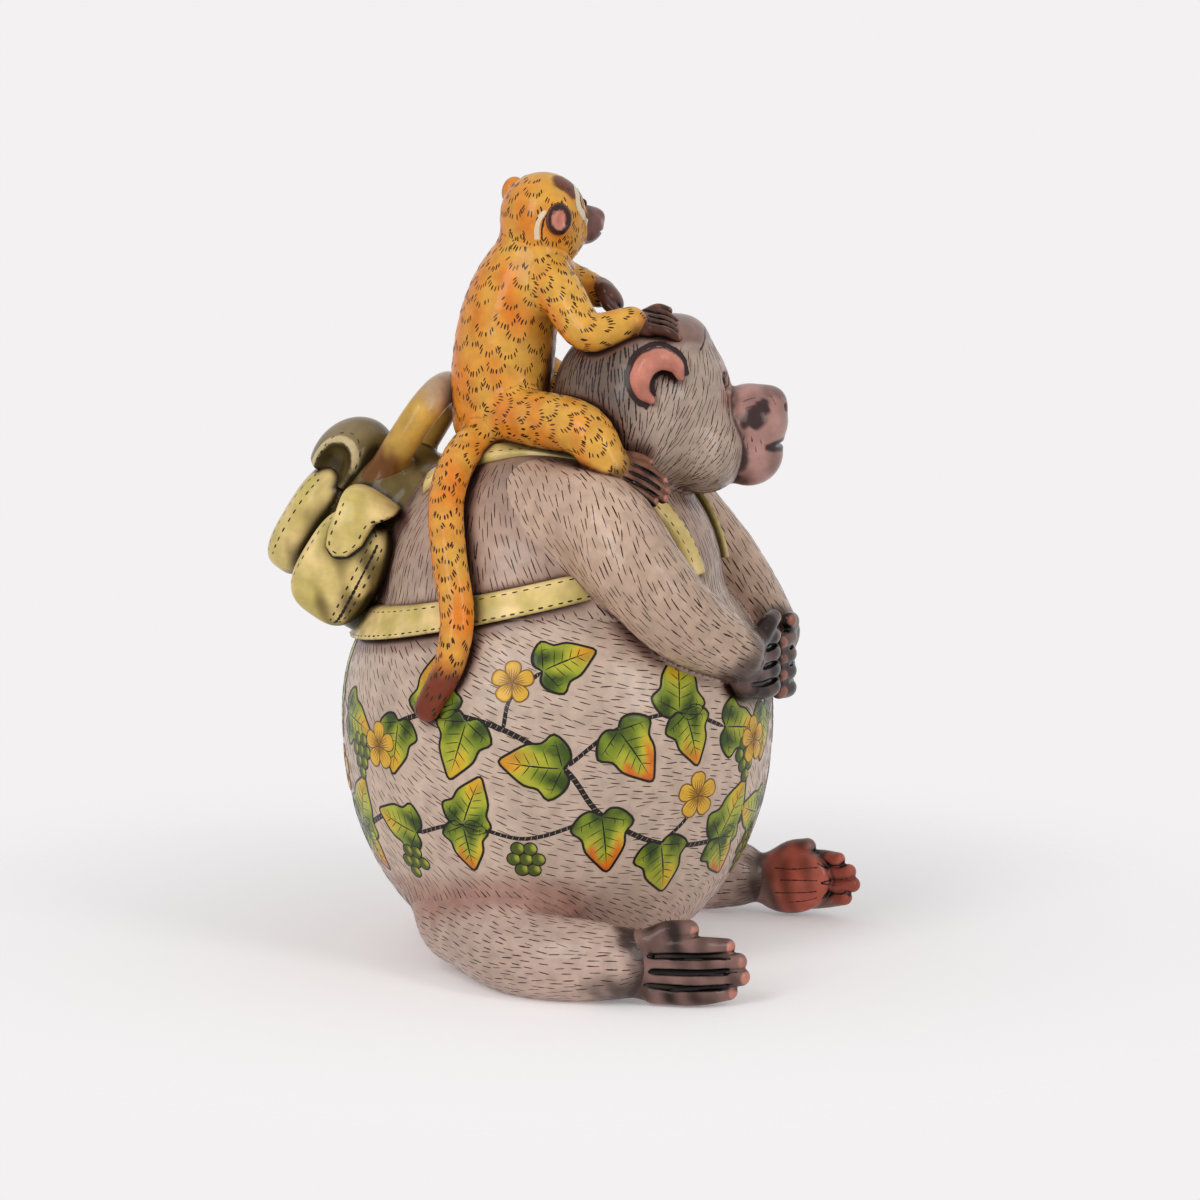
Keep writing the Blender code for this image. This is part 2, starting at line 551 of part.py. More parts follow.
# Which pieces each one is luted onto; it is cut to their faces
PACK_BACK = ("backpack_body", "torso", "belly")
CARRIERS = {
    "belly": (), "torso": ("belly",), "head": ("torso",), "muzzle": ("head",),
    "eye_right": ("head", "muzzle"), "eye_left": ("head", "muzzle"),
    "ear_right": ("head",), "ear_left": ("head",),
    "arm_right": ("torso", "belly", "head", "shoulder_strap_right"),
    "arm_left": ("torso", "belly", "head", "shoulder_strap_left"),
    "hand_right": ("arm_right", "belly"), "hand_left": ("arm_left", "belly", "hand_right"),
    "leg_right": ("belly", "ground"), "leg_left": ("belly", "ground"),
    "foot_right": ("leg_right", "belly", "ground"), "foot_left": ("leg_left", "belly", "ground"),
    "backpack_body": ("torso", "belly"), "rear_pocket": ("backpack_body",),
    "rear_pocket_lid": ("rear_pocket", "backpack_body"),
    "side_pocket_right": PACK_BACK + ("rear_pocket",), "side_pocket_left": PACK_BACK + ("rear_pocket",),
    "side_flap_right": PACK_BACK + ("side_pocket_right", "rear_pocket_lid", "rear_pocket"),
    "side_flap_left": PACK_BACK + ("side_pocket_left", "rear_pocket_lid", "rear_pocket"),
    "carry_handle": ("backpack_body", "rear_pocket_lid", "side_flap_right", "side_flap_left"),
    "lower_strap_right": PACK_BACK + ("arm_right", "side_pocket_right"),
    "lower_strap_left": PACK_BACK + ("arm_left", "side_pocket_left"),
    "shoulder_strap_right": PACK_BACK + ("head", "lower_strap_right"),
    "shoulder_strap_left": PACK_BACK + ("head", "lower_strap_left"),
    "young_torso": ("torso", "head", "shoulder_strap_right", "shoulder_strap_left", "carry_handle"),
    "young_head": ("young_torso",), "young_muzzle": ("young_head",),
    "young_eye_right": ("young_head", "young_muzzle"), "young_eye_left": ("young_head", "young_muzzle"),
    "young_ear_right": ("young_head",), "young_ear_left": ("young_head",),
    "young_arm_right": ("young_torso", "young_head", "head"),
    "young_arm_left": ("young_torso", "young_head", "head"),
    "young_hand_right": ("young_arm_right", "head"), "young_hand_left": ("young_arm_left", "head"),
    "young_leg_right": ("young_torso", "torso", "head", "arm_right", "shoulder_strap_right", "ear_right"),
    "young_leg_left": ("young_torso", "torso", "head", "arm_left", "shoulder_strap_left", "carry_handle",
                       "backpack_body"),
    "young_foot_right": ("young_leg_right", "torso", "head", "arm_right", "shoulder_strap_right"),
    "young_foot_left": ("young_leg_left", "torso", "head", "arm_left", "shoulder_strap_left"),
    "young_tail": ("young_torso", "torso", "belly", "shoulder_strap_right", "lower_strap_right",
                   "young_leg_right"),
}

FINISH = {
    "fur": (FUR, ("belly", "torso", "head", "arm", "leg")), "skin": (SKIN, ("hand", "foot")),
    "face": (FACE, ("muzzle",)), "ear": (PINK, ("ear",)), "eye": (EYE, ("eye", "young_eye")),
    "coat": (COAT, ("young_torso", "young_head", "young_arm", "young_leg", "young_tail", "young_ear")),
    "young_skin": (SKIN, ("young_hand", "young_foot", "young_muzzle")),
    "canvas": (CANVAS, ("backpack_body", "rear_pocket", "rear_pocket_lid", "side_pocket", "side_flap")),
    "strap": (WEBBING, ("lower_strap", "shoulder_strap")), "handle": (MUSTARD, ("carry_handle",)),
}
MATERIALS = {name: glaze(name, colour) for name, (colour, _) in FINISH.items()}


def finish_of(piece):
    stem = piece.removesuffix("_right").removesuffix("_left")
    return next(MATERIALS[name] for name, (_, stems) in FINISH.items() if stem in stems)


def cutter(name):
    """The carrier's own form, larger by the hairline of slip."""
    label = f"cut_{name}"
    if label not in bpy.data.objects:
        FORMS[name](label, SLIP)
    return bpy.data.objects[label]


def lute(piece):
    """Forms one piece and cuts it to the faces of the pieces that carry it."""
    obj = FORMS[piece](piece, 0.0)
    CUTTERS.objects.unlink(obj)
    PARTS.objects.link(obj)
    obj.hide_render = False
    obj.display_type = "TEXTURED"
    for carrier in CARRIERS[piece]:
        seat = obj.modifiers.new(f"seat_on_{carrier}", "BOOLEAN")
        seat.operation = "DIFFERENCE"
        seat.object = cutter(carrier)
    obj.data.materials.clear()
    obj.data.materials.append(finish_of(piece))
    obj.data.shade_smooth()
    obj.data.set_sharp_from_angle(angle=math.radians(35))


for part in CARRIERS:
    lute(part)
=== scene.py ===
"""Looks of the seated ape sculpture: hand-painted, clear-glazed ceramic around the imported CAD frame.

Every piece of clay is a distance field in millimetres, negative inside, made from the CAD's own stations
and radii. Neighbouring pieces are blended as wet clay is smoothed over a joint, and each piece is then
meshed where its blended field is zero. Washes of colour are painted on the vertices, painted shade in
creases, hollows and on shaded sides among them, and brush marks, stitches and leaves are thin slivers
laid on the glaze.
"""
import functools
import itertools
import math

import bpy
import numpy as np
from mathutils import Matrix, Vector


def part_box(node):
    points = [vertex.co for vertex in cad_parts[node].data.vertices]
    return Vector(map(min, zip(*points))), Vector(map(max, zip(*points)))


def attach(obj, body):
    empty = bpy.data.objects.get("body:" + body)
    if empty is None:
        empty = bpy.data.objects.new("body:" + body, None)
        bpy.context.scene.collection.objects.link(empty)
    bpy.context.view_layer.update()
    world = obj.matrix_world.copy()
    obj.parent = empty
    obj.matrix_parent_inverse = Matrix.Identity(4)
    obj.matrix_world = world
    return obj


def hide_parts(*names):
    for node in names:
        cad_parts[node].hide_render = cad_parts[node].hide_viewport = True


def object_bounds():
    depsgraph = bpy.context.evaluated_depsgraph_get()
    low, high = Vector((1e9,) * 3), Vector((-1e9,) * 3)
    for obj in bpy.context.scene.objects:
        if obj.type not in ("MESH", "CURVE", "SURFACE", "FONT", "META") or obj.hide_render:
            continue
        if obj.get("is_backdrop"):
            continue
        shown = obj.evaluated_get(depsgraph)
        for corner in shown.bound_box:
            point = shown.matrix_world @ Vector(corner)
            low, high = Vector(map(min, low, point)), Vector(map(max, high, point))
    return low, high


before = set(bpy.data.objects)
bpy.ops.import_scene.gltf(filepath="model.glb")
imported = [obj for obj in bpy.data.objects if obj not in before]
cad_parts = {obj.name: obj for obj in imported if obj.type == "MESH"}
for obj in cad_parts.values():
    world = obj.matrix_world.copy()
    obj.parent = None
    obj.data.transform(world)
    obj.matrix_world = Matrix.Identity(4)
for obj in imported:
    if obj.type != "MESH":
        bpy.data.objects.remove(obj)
CAD_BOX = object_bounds()

MM = 0.001
RIGHT, LEFT = -1, 1
SIDES = {RIGHT: "right", LEFT: "left"}
COARSE = 1.0         # scales every voxel size; above 1 the voxels are larger
CHANCE = np.random.default_rng(11)


@functools.cache
def box_of(name):
    """Two corners of a CAD node's box in millimetres."""
    return tuple(np.array(corner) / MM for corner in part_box(name))


# Frames of the figure, in millimetres

def placed(place=(0, 0, 0), yaw=0.0, lean=0.0, roll=0.0):
    """Local frame turned by roll, then lean, then yaw, in degrees, as in the CAD."""
    turn = (Matrix.Rotation(math.radians(yaw), 4, "Z") @ Matrix.Rotation(math.radians(lean), 4, "Y")
            @ Matrix.Rotation(math.radians(roll), 4, "X"))
    return np.array(Matrix.Translation(Vector(place)) @ turn)


WORLD = np.eye(4)
FLIP = np.diag((1.0, -1.0, 1.0, 1.0))
HEAD = placed((39, 0, 208), yaw=15)
YOUNG_HEAD = placed((-5.4, 0, 279.5), yaw=43)
PACK = placed((-61.2, 0, 150), lean=32)
HAND = {RIGHT: placed((80, -20, 117), 76), LEFT: FLIP @ placed((80, -21, 112), 74)}
FOOT = {RIGHT: placed((69, -74, 15), 10), LEFT: FLIP @ placed((79, -77, 15.5), 8, -8)}
FOOT_SIZE = {RIGHT: 1.0, LEFT: 0.9}
YOUNG_HAND = {RIGHT: placed((40, -14.5, 241.5), 21, 14, -66), LEFT: placed((18.8, 9.5, 247.5), -8, 46, 70)}
YOUNG_FOOT = {RIGHT: placed((41, -39, 187.5), 8, 26, -40), LEFT: placed((20, 47, 196), -10, 20, 40)}
YOUNG_SIZE = 0.58

# Stations of x, y, z and radius along the limbs
ARM = {RIGHT: ((2, -31, 171, 20), (28, -47, 171.5, 19.5), (48, -57, 154, 17), (62, -52, 138, 15),
               (76, -31, 124, 11)),
       LEFT: ((0, 31, 168, 19), (21, 48, 170, 18), (41, 59, 150, 15.5), (58, 53, 133, 13.5),
              (75, 33, 120, 10.5))}
LEG = {RIGHT: ((-24, -45, 20, 17), (0, -67, 16, 17), (16, -76, 15, 16), (32, -78, 15, 15),
               (43, -78, 15, 13.5)),
       LEFT: ((-24, 45, 20, 17), (0, 67, 16, 17), (18, 77, 15, 16), (37, 79, 15, 14.5), (50, 79, 15, 12.5))}
YOUNG_TORSO = ((-22, -4, 204, 17), (-20, -5, 220, 19), (-18, -4, 238, 18.5), (-14, -3, 252, 17),
               (-9, -1, 266, 12.5))
YOUNG_ARM = {RIGHT: ((-2, -8, 258, 9), (6, -16, 252, 8.5), (18, -23, 239.5, 7.5), (33.5, -19, 243, 5.8)),
             LEFT: ((-4, 8, 256, 9), (-2, 13, 254, 8), (6, 15, 251, 6.8), (13, 12, 249.5, 5.6))}
YOUNG_LEG = {RIGHT: ((-18, -10, 204, 12), (-4, -23, 206, 11), (20, -38, 205, 9.8), (31, -41, 191.5, 7.8)),
             LEFT: ((-18, 6, 206, 12), (-34, 20, 221, 10), (-25, 37, 217, 9.5), (-6, 45, 206, 8.5),
                    (9, 47, 200, 7))}
YOUNG_TAIL = ((-20, -14, 200, 7.2), (-27, -32, 194, 6.8), (-28, -52, 180, 6.6), (-23, -66, 160, 6.5),
              (-18, -73, 140, 6.3), (-20, -77, 122, 5.7), (-28, -78, 106, 4.9))


# Distance fields

def local(points, axes):
    """Points of the figure in a frame's own axes."""
    inverse = np.linalg.inv(axes)
    return points @ inverse[:3, :3].T + inverse[:3, 3]


def length(vectors):
    return np.sqrt((vectors * vectors).sum(axis=1))


def unit(vectors):
    return vectors / np.maximum(length(vectors), 1e-9)[:, None]


def ellipsoid(centre, radii, axes=WORLD):
    radii = np.array(radii, float)

    def field(points):
        offset = local(points, axes) - centre + 1e-4
        size = length(offset / radii)
        return size * (size - 1) / length(offset / radii ** 2)
    return field


def cushion(centre, radii, power, axes=WORLD):
    """Superellipsoid: the higher the power, the squarer the cushion."""
    radii = np.array(radii, float)

    def field(points):
        scaled = np.abs(local(points, axes) - centre) / radii + 1e-4
        size = (scaled ** power).sum(axis=1) ** (1 / power)
        return (size - 1) / length((scaled / size[:, None]) ** (power - 1) / radii)
    return field


def curve(knots, steps):
    """Points of a Catmull-Rom curve from the second knot up to the last but one."""
    path = []
    for a, b, c, d in zip(knots, knots[1:], knots[2:], knots[3:]):
        for t in np.arange(steps) / steps:
            path.append(0.5 * (2 * b + (c - a) * t + (2 * a - 5 * b + 4 * c - d) * t * t
                               + (3 * b - a - 3 * c + d) * t ** 3))
    return path


def smooth_path(stations, steps):
    """Smooth curve through the stations."""
    knots = np.array(stations, float)
    knots = np.vstack((2 * knots[0] - knots[1], knots, 2 * knots[-1] - knots[-2]))
    return np.array(curve(knots, steps) + [knots[-2]])


def roll(stations, axes=WORLD, steps=5):
    """Roll of clay of varying radius along a smooth path."""
    path = smooth_path(stations, steps)

    def field(points):
        spot = local(points, axes)
        nearest = np.full(len(spot), 1e9)
        for a, b in zip(path, path[1:]):
            run = b[:3] - a[:3]
            t = np.clip((spot - a[:3]) @ run / (run @ run), 0, 1)
            gap = length(spot - a[:3] - t[:, None] * run) - (a[3] + t * (b[3] - a[3]))
            np.minimum(nearest, gap, out=nearest)
        return nearest
    return field


def blend(a, b, reach):
    """Smooth union of two distances with a fillet about as wide as reach."""
    mix = np.clip(0.5 + 0.5 * (b - a) / reach, 0, 1)
    return b + (a - b) * mix - reach * mix * (1 - mix)


def carve(a, b, reach):
    """Takes b away from a, with rounded edges."""
    return -blend(-a, b, reach)


def combined(work, reach, first, *others):
    """Field of a first form with others blended in, or carved out, one after the other."""
    def field(points):
        total = first(points)
        for other in others:
            total = work(total, other(points), reach)
        return total
    return field


joined, carved = functools.partial(combined, blend), functools.partial(combined, carve)


def step_up(value, low, high):
    """Smooth step from 0 at low to 1 at high."""
    t = np.clip((value - low) / (high - low), 0, 1)
    return t * t * (3 - 2 * t)


def step_down(value, low, high):
    return 1 - step_up(value, low, high)


# Forms of the pieces

BELLY_RADIUS, BELLY_WIDEST, BELLY_DROP, BELLY_RISE, BELLY_POWER = 81.0, 92.0, 96.0, 68.0, 2.2


def belly_form(points):
    """Turned pot with a flat base."""
    rise = points[:, 2] - BELLY_WIDEST
    half = np.where(rise > 0, BELLY_RISE, BELLY_DROP)
    across = np.hypot(points[:, 0], points[:, 1]) / BELLY_RADIUS + 1e-4
    up = np.abs(rise) / half + 1e-4
    size = (across ** BELLY_POWER + up ** BELLY_POWER) ** (1 / BELLY_POWER)
    slope = np.hypot((across / size) ** (BELLY_POWER - 1) / BELLY_RADIUS,
                     (up / size) ** (BELLY_POWER - 1) / half)
    return np.maximum((size - 1) / slope, -points[:, 2])


def above_ground(form):
    return lambda points: np.maximum(form(points), 0.05 - points[:, 2])


def lumps(reach, axes, *parts):
    """Lumps of clay, given as centres and radii, smoothed into one."""
    return joined(reach, *[ellipsoid(centre, radii, axes) for centre, radii in parts])


TORSO = ellipsoid((-2, 0, 142), (64, 64, 58))
BODY = joined(6, TORSO, belly_form)
SKULL = lumps(5, HEAD, ((-4.5, 0, 3), (32, 32, 33.5)), ((9, 0, 27), (9, 18, 8)), ((17, 0, -13), (16, 27, 18)),
              ((-15, 0, 3), (24, 24, 28)))
HOOD = carved(1.2, SKULL, *[ellipsoid((27.2, side * 7.5, 12), (5, 5, 4.2), HEAD) for side in SIDES])
LIPS = lumps(3.5, HEAD, ((35, 0, -4), (13.3, 16, 13)), ((33, 0, 3.5), (9, 9, 5.2)),
             ((42, 0, 3), (5.5, 8, 5.5)), ((33.5, 0, -16), (13, 14.5, 12.5)))
MUZZLE = carved(0.8, LIPS, ellipsoid((49, 0, -12.5), (7.2, 13, 0.9), HEAD),
                *[ellipsoid((46.5, side * 4, 1.5), (3.2, 1.6, 1.5), HEAD) for side in SIDES])
# The ear is a crescent of clay: degrees round its arc and the radius of the roll there
EAR_ARC = ((8, 1.6), (45, 3.2), (90, 4.3), (130, 4.6), (170, 4.2), (210, 3.0), (243, 1.6))


def ear_stations(side, offset=0.0):
    """Stations along the ear's arc, or beside it: an offset of 1 is the roll's outer edge, -1 the inner."""
    stations = []
    for degrees, radius in EAR_ARC:
        along, up = math.cos(math.radians(degrees)), math.sin(math.radians(degrees))
        beside = offset * (radius + 0.6)
        stations.append((0.4 + (7.5 + beside) * along, side * (32.2 - 1.8 * along), 15.5 + (8 + beside) * up,
                         radius))
    return stations


# Stations of the thumb and fingers, x along the fingers and z to the thumb
FINGERS = [((-4, -2.5, 8, 3.8), (3, -4.4, 14.5, 3.6), (10, -3.6, 16.5, 3))]
for _across in (9.6, 3.2, -3.2, -9.6):
    FINGERS.append(((-4, -2.5, _across * 0.8, 3.2), (2, -3, _across, 3.5), (9, -3.2, _across, 3.5),
                    (17, 0.2, _across * 0.96, 3)))
# Stations of the big toe and the other toes, x along the toes and y into the sole
TOES = [((-15, -2, 8, 4.6), (-7, -2, 12, 4.4), (1, -2, 13.2, 3.8))]
for _across, _reach, _radius in ((7.6, 15, 3.6), (1.6, 19, 3.9), (-4.4, 20, 4), (-10.2, 15.5, 4)):
    TOES.append(((-12, -3.2, _across, _radius), (4, -4.4, _across, _radius + 0.2),
                 (_reach, -1, _across * 0.94, _radius - 0.6)))
# Grooves that run back between them
FINGER_GROOVES = [((-10, -4.9, 0.85 * _z, 0.7), (-3, -5.6, _z, 1.1), (5, -5.2, _z, 1.2), (12, -3.6, _z, 1.0))
                  for _z in (6.4, 0.0, -6.4)]
TOE_GROOVES = [((-20, -5.4, 0.8 * _z, 0.7), (-10, -7.2, 0.95 * _z, 1.0), (4, -7.2, _z, 1.1),
                (15, -5.0, 0.97 * _z, 1.0)) for _z in (4.6, -1.4, -7.3)]
# Centre and radii of the palm and the instep, with their digits and grooves
PALM = ((-3, 0, 0), (12, 6.5, 12.5), FINGERS, FINGER_GROOVES)
INSTEP = ((-8, 0, -0.5), (19, 7.6, 14.5), TOES, TOE_GROOVES)


def paw_form(parts, axes, size, web=1.2):
    """Hand or foot, its digits grown together as far as the web says."""
    centre, radii, *rolls = parts
    middle = ellipsoid(np.array(centre) * size, np.array(radii) * size, axes)
    digits, grooves = [[roll(np.array(stations) * size, axes, steps) for stations in group]
                       for group, steps in zip(rolls, (4, 3))]
    return carved(0.8 * size, joined(web * size, middle, *digits), *grooves)


SACK = cushion((-6, 0, 2), (24, 28.5, 36), 3.0, PACK)
REAR_POCKET = cushion((-34.5, 0, -7), (10.5, 22, 23.5), 3.0, PACK)
FLAP_OUTLINE = np.array(((-26, 26), (-3, 26), (-3, 21), (-7.5, 15), (-7, 6), (-9.5, -0.5), (-14, -3.6),
                         (-18.5, -2), (-21, 3.5), (-22.5, 11), (-25.5, 19)), float)


def side_pocket_form(side):
    return cushion((-10.5, side * 31, -8), (16, 9.5, 22), 3.0, PACK)


def outline_gap(flat, outline):
    """Distance to a closed outline in its plane, negative inside."""
    nearest = np.full(len(flat), 1e9)
    inside = np.zeros(len(flat), bool)
    for a, b in zip(outline, np.roll(outline, -1, axis=0)):
        run = b - a
        t = np.clip((flat - a) @ run / (run @ run), 0, 1)
        np.minimum(nearest, length(flat - a - t[:, None] * run), out=nearest)
        if a[1] != b[1]:
            crossing = a[0] + (flat[:, 1] - a[1]) / (b[1] - a[1]) * run[0]
            inside ^= ((a[1] > flat[:, 1]) != (b[1] > flat[:, 1])) & (flat[:, 0] < crossing)
    return np.where(inside, -nearest, nearest)


def side_flap_form(side):
    """Tongue of a sheet that falls over the side pocket, with a turned edge."""
    sheet = cushion((-11, side * 29, -4), (19, 14.2, 27), 3.0, PACK)
    pocket = side_pocket_form(side)

    def field(points):
        tongue = outline_gap(local(points, PACK)[:, (0, 2)], FLAP_OUTLINE)
        return np.maximum(carve(sheet(points), -tongue, 1.4), 0.3 - pocket(points))
    return field


# Domed lid over the mouth of the rear pocket, hollow at its two ends
LID_FOOT = 12.0
LID_MOUTHS = [ellipsoid((-37.5, side * 23, 17), (8, 12, 11.5), PACK) for side in SIDES]
LID = carved(1.0, ellipsoid((-33.5, 0, 18), (15.5, 19.5, 18.5), PACK),
             lambda points: local(points, PACK)[:, 2] - LID_FOOT, *LID_MOUTHS)
# Arched tube whose feet stand on the top of the sack
HANDLE_RISE = [(-18.5, y, z, 6.2) for y, z in ((-18, 22), (-18, 42), (-15.5, 54.5), (-8.5, 61), (0, 62.5))]
HANDLE = roll(HANDLE_RISE + [(x, -y, z, radius) for x, y, z, radius in HANDLE_RISE[-2::-1]], PACK)

STRAP_THICKNESS, STRAP_MIDDLE = 3.0, 0.9
LOWER_STRAP = placed((0, 0, 144), lean=-13.5)
SHOULDER_STRAP = {side: placed((0, 21 * side, 150), roll=90 - 9.0 * side) for side in SIDES}


def band(skin, axes, half_width, low, high):
    """Strap with rounded edges on a skin, inside a slab that runs between two places along its x axis."""
    def field(points):
        spot = local(points, axes)
        height = np.abs(skin(points) - STRAP_MIDDLE) - (STRAP_THICKNESS - STRAP_MIDDLE)
        width = np.abs(spot[:, 2]) - half_width
        ends = np.maximum(low - spot[:, 0], spot[:, 0] - high)
        return carve(carve(height, -width, 1.6), -ends, 1.0)
    return field


def lower_strap_form(side):
    strap = band(BODY, LOWER_STRAP, 5.25, -80, 36)
    return lambda points: np.maximum(strap(points), 18 - side * points[:, 1])


def shoulder_strap_form(side):
    strap = band(TORSO, SHOULDER_STRAP[side], 4.0, -44, 80)
    return lambda points: np.maximum(strap(points), 150 - points[:, 2])


YOUNG_SKULL = lumps(4, YOUNG_HEAD, ((0, 0, 0), (16, 16, 16)), ((6, 0, -8), (10, 11, 9.5)))
YOUNG_LIPS = lumps(2.5, YOUNG_HEAD, ((16.5, 0, -4.5), (8, 8, 7.5)), ((22, 0, -1.5), (3, 4, 2.6)))
YOUNG_MUZZLE = carved(0.6, YOUNG_LIPS, ellipsoid((25, 0, -7), (6, 8, 0.5), YOUNG_HEAD))


def young_ear_form(side):
    centre = (-1.5, -15.5, 0) if side == RIGHT else (-4, 15.5, 7)
    hollow = (-0.9, -19.6, 0) if side == RIGHT else (-3.4, 19.6, 7)
    return carved(0.8, ellipsoid(centre, (5, 3.6, 6), YOUNG_HEAD),
                  ellipsoid(hollow, (3.2, 2.4, 4), YOUNG_HEAD))


FORMS = {"belly": belly_form, "torso": TORSO, "head": HOOD, "muzzle": MUZZLE, "backpack_body": SACK,
         "rear_pocket": REAR_POCKET, "rear_pocket_lid": LID, "carry_handle": HANDLE,
         "young_torso": roll(YOUNG_TORSO), "young_head": YOUNG_SKULL, "young_muzzle": YOUNG_MUZZLE,
         "young_tail": roll(YOUNG_TAIL)}
# Forms of the pieces that come in pairs, by side
PAIRED = {
    "arm": lambda side: roll(ARM[side]), "leg": lambda side: above_ground(roll(LEG[side])),
    "hand": lambda side: paw_form(PALM, HAND[side], 1.0, 2.0),
    "foot": lambda side: above_ground(paw_form(INSTEP, FOOT[side], FOOT_SIZE[side])),
    "ear": lambda side: roll(ear_stations(side), HEAD),
    "eye": lambda side: ellipsoid((21.4, side * 7.5, 12), (3.6, 3.6, 3.2), HEAD),
    "side_pocket": side_pocket_form, "side_flap": side_flap_form,
    "lower_strap": lower_strap_form, "shoulder_strap": shoulder_strap_form,
    "young_arm": lambda side: roll(YOUNG_ARM[side]), "young_leg": lambda side: roll(YOUNG_LEG[side]),
    "young_hand": lambda side: paw_form(PALM, YOUNG_HAND[side], YOUNG_SIZE),
    "young_foot": lambda side: paw_form(INSTEP, YOUNG_FOOT[side], YOUNG_SIZE), "young_ear": young_ear_form,
    "young_eye": lambda side: ellipsoid((13.5, side * 5.2, 4.0), (2.0, 2.0, 2.0), YOUNG_HEAD),
}
for _side, _word in SIDES.items():
    FORMS.update({f"{stem}_{_word}": form(_side) for stem, form in PAIRED.items()})


FAR = 18.0                                  # no fillet or crease reaches further


def boxed(name, form):
    """The same field, worked out only near the piece; further off it is the distance to the piece's box."""
    low, high = box_of(name)

    def field(points):
        gap = length(np.maximum(np.maximum(low - points, points - high), 0))
        near = gap < FAR
        gap[near] = form(points[near])
        return gap
    return field


FORMS = {name: boxed(name, form) for name, form in FORMS.items()}

# Which pieces are smoothed into each other, and how wide the fillet is
FILLETS = {("torso", "belly"): 6, ("head", "torso"): 6, ("muzzle", "head"): 2.5,
           ("rear_pocket", "backpack_body"): 1.5, ("carry_handle", "backpack_body"): 3.5,
           ("backpack_body", "torso"): 7, ("young_head", "young_torso"): 6, ("young_muzzle", "young_head"): 2,
           ("young_tail", "young_torso"): 6, ("young_tail", "young_leg_right"): 4}
PAIRED_FILLETS = {("arm", "torso"): 9, ("arm", "belly"): 4, ("leg", "belly"): 12, ("hand", "arm"): 4,
                  ("foot", "leg"): 4, ("ear", "head"): 1.0, ("side_pocket", "backpack_body"): 1.5,
                  ("young_arm", "young_torso"): 6, ("young_leg", "young_torso"): 6,
                  ("young_hand", "young_arm"): 2, ("young_foot", "young_leg"): 2,
                  ("young_ear", "young_head"): 1.0}
for _word in SIDES.values():
    for _pair, _reach in PAIRED_FILLETS.items():
        FILLETS[tuple(f"{stem}_{_word}" if stem in PAIRED else stem for stem in _pair)] = _reach
LAP = 2.0                                   # how far a piece runs on under its neighbour
LAP_SLOPE = 0.35                            # and how fast it sinks there


def neighbours(name):
    """Fields of the pieces that this one is smoothed into, and the width of each fillet."""
    return [(FORMS[second if name == first else first], reach) for (first, second), reach in FILLETS.items()
            if name in (first, second)]


def shaped(name):
    """The piece's field after it is smoothed into its neighbours; it ends just under their surface."""
    own, fillets = FORMS[name], neighbours(name)

    def field(points):
        mine = own(points)
        whole = mine
        others = np.full(len(points), 1e9)
        for form, reach in fillets:
            gap = form(points)
            whole = blend(whole, gap, reach)
            np.minimum(others, gap, out=others)
        lap = mine - others
        return np.maximum(whole + LAP_SLOPE * np.maximum(lap, 0), lap - LAP)
    return field


# Meshing

BLOCK = 4                                   # fine cells along a coarse one
NEAR_BLOCKS = 1.9                           # how many blocks from the surface are worked out in full
CORNERS = np.array(list(itertools.product((0, 1), repeat=3)))
EDGES = [(a, b) for a, b in itertools.combinations(range(8), 2) if np.abs(CORNERS[a] - CORNERS[b]).sum() == 1]
PROBES = np.array(((1, -1, -1), (-1, -1, 1), (-1, 1, -1), (1, 1, 1)), float)


def slope_of(field, points, reach=0.12):
    return sum(probe * field(points + reach * probe)[:, None] for probe in PROBES) / (4 * reach)


def on_surface(field, points, rounds=2):
    """Moves points to where the field is zero and returns them with their normals."""
    for _ in range(rounds):
        slope = slope_of(field, points)
        points = points - slope * (field(points) / np.maximum((slope ** 2).sum(axis=1), 0.05))[:, None]
    return points, unit(slope_of(field, points))


def corner_views(values, shape):
    """The values at each of the eight corners of all cells."""
    return [values[i:shape[0] + i, j:shape[1] + j, k:shape[2] + k] for i, j, k in CORNERS]


def sampled(field, low, high, step):
    """Values on a fine grid; only blocks near the surface are worked out in full."""
    blocks = np.ceil((high - low) / (step * BLOCK)).astype(int)
    coarse_axes = [low[i] + np.arange(blocks[i] + 1) * step * BLOCK for i in range(3)]
    coarse_points = np.stack(np.meshgrid(*coarse_axes, indexing="ij"), -1).reshape(-1, 3)
    coarse = field(coarse_points).reshape(blocks + 1)
    busy = np.any(corner_views(np.abs(coarse) < step * BLOCK * NEAR_BLOCKS, blocks), axis=0)
    cells = busy.repeat(BLOCK, 0).repeat(BLOCK, 1).repeat(BLOCK, 2)
    wanted = np.zeros(np.array(cells.shape) + 1, bool)
    for corner in corner_views(wanted, cells.shape):
        corner |= cells
    picks = [np.minimum(np.arange(size) // BLOCK, size // BLOCK) for size in wanted.shape]
    values = coarse[np.ix_(*picks)].copy()
    values[wanted] = field(low + np.argwhere(wanted) * step)
    return values


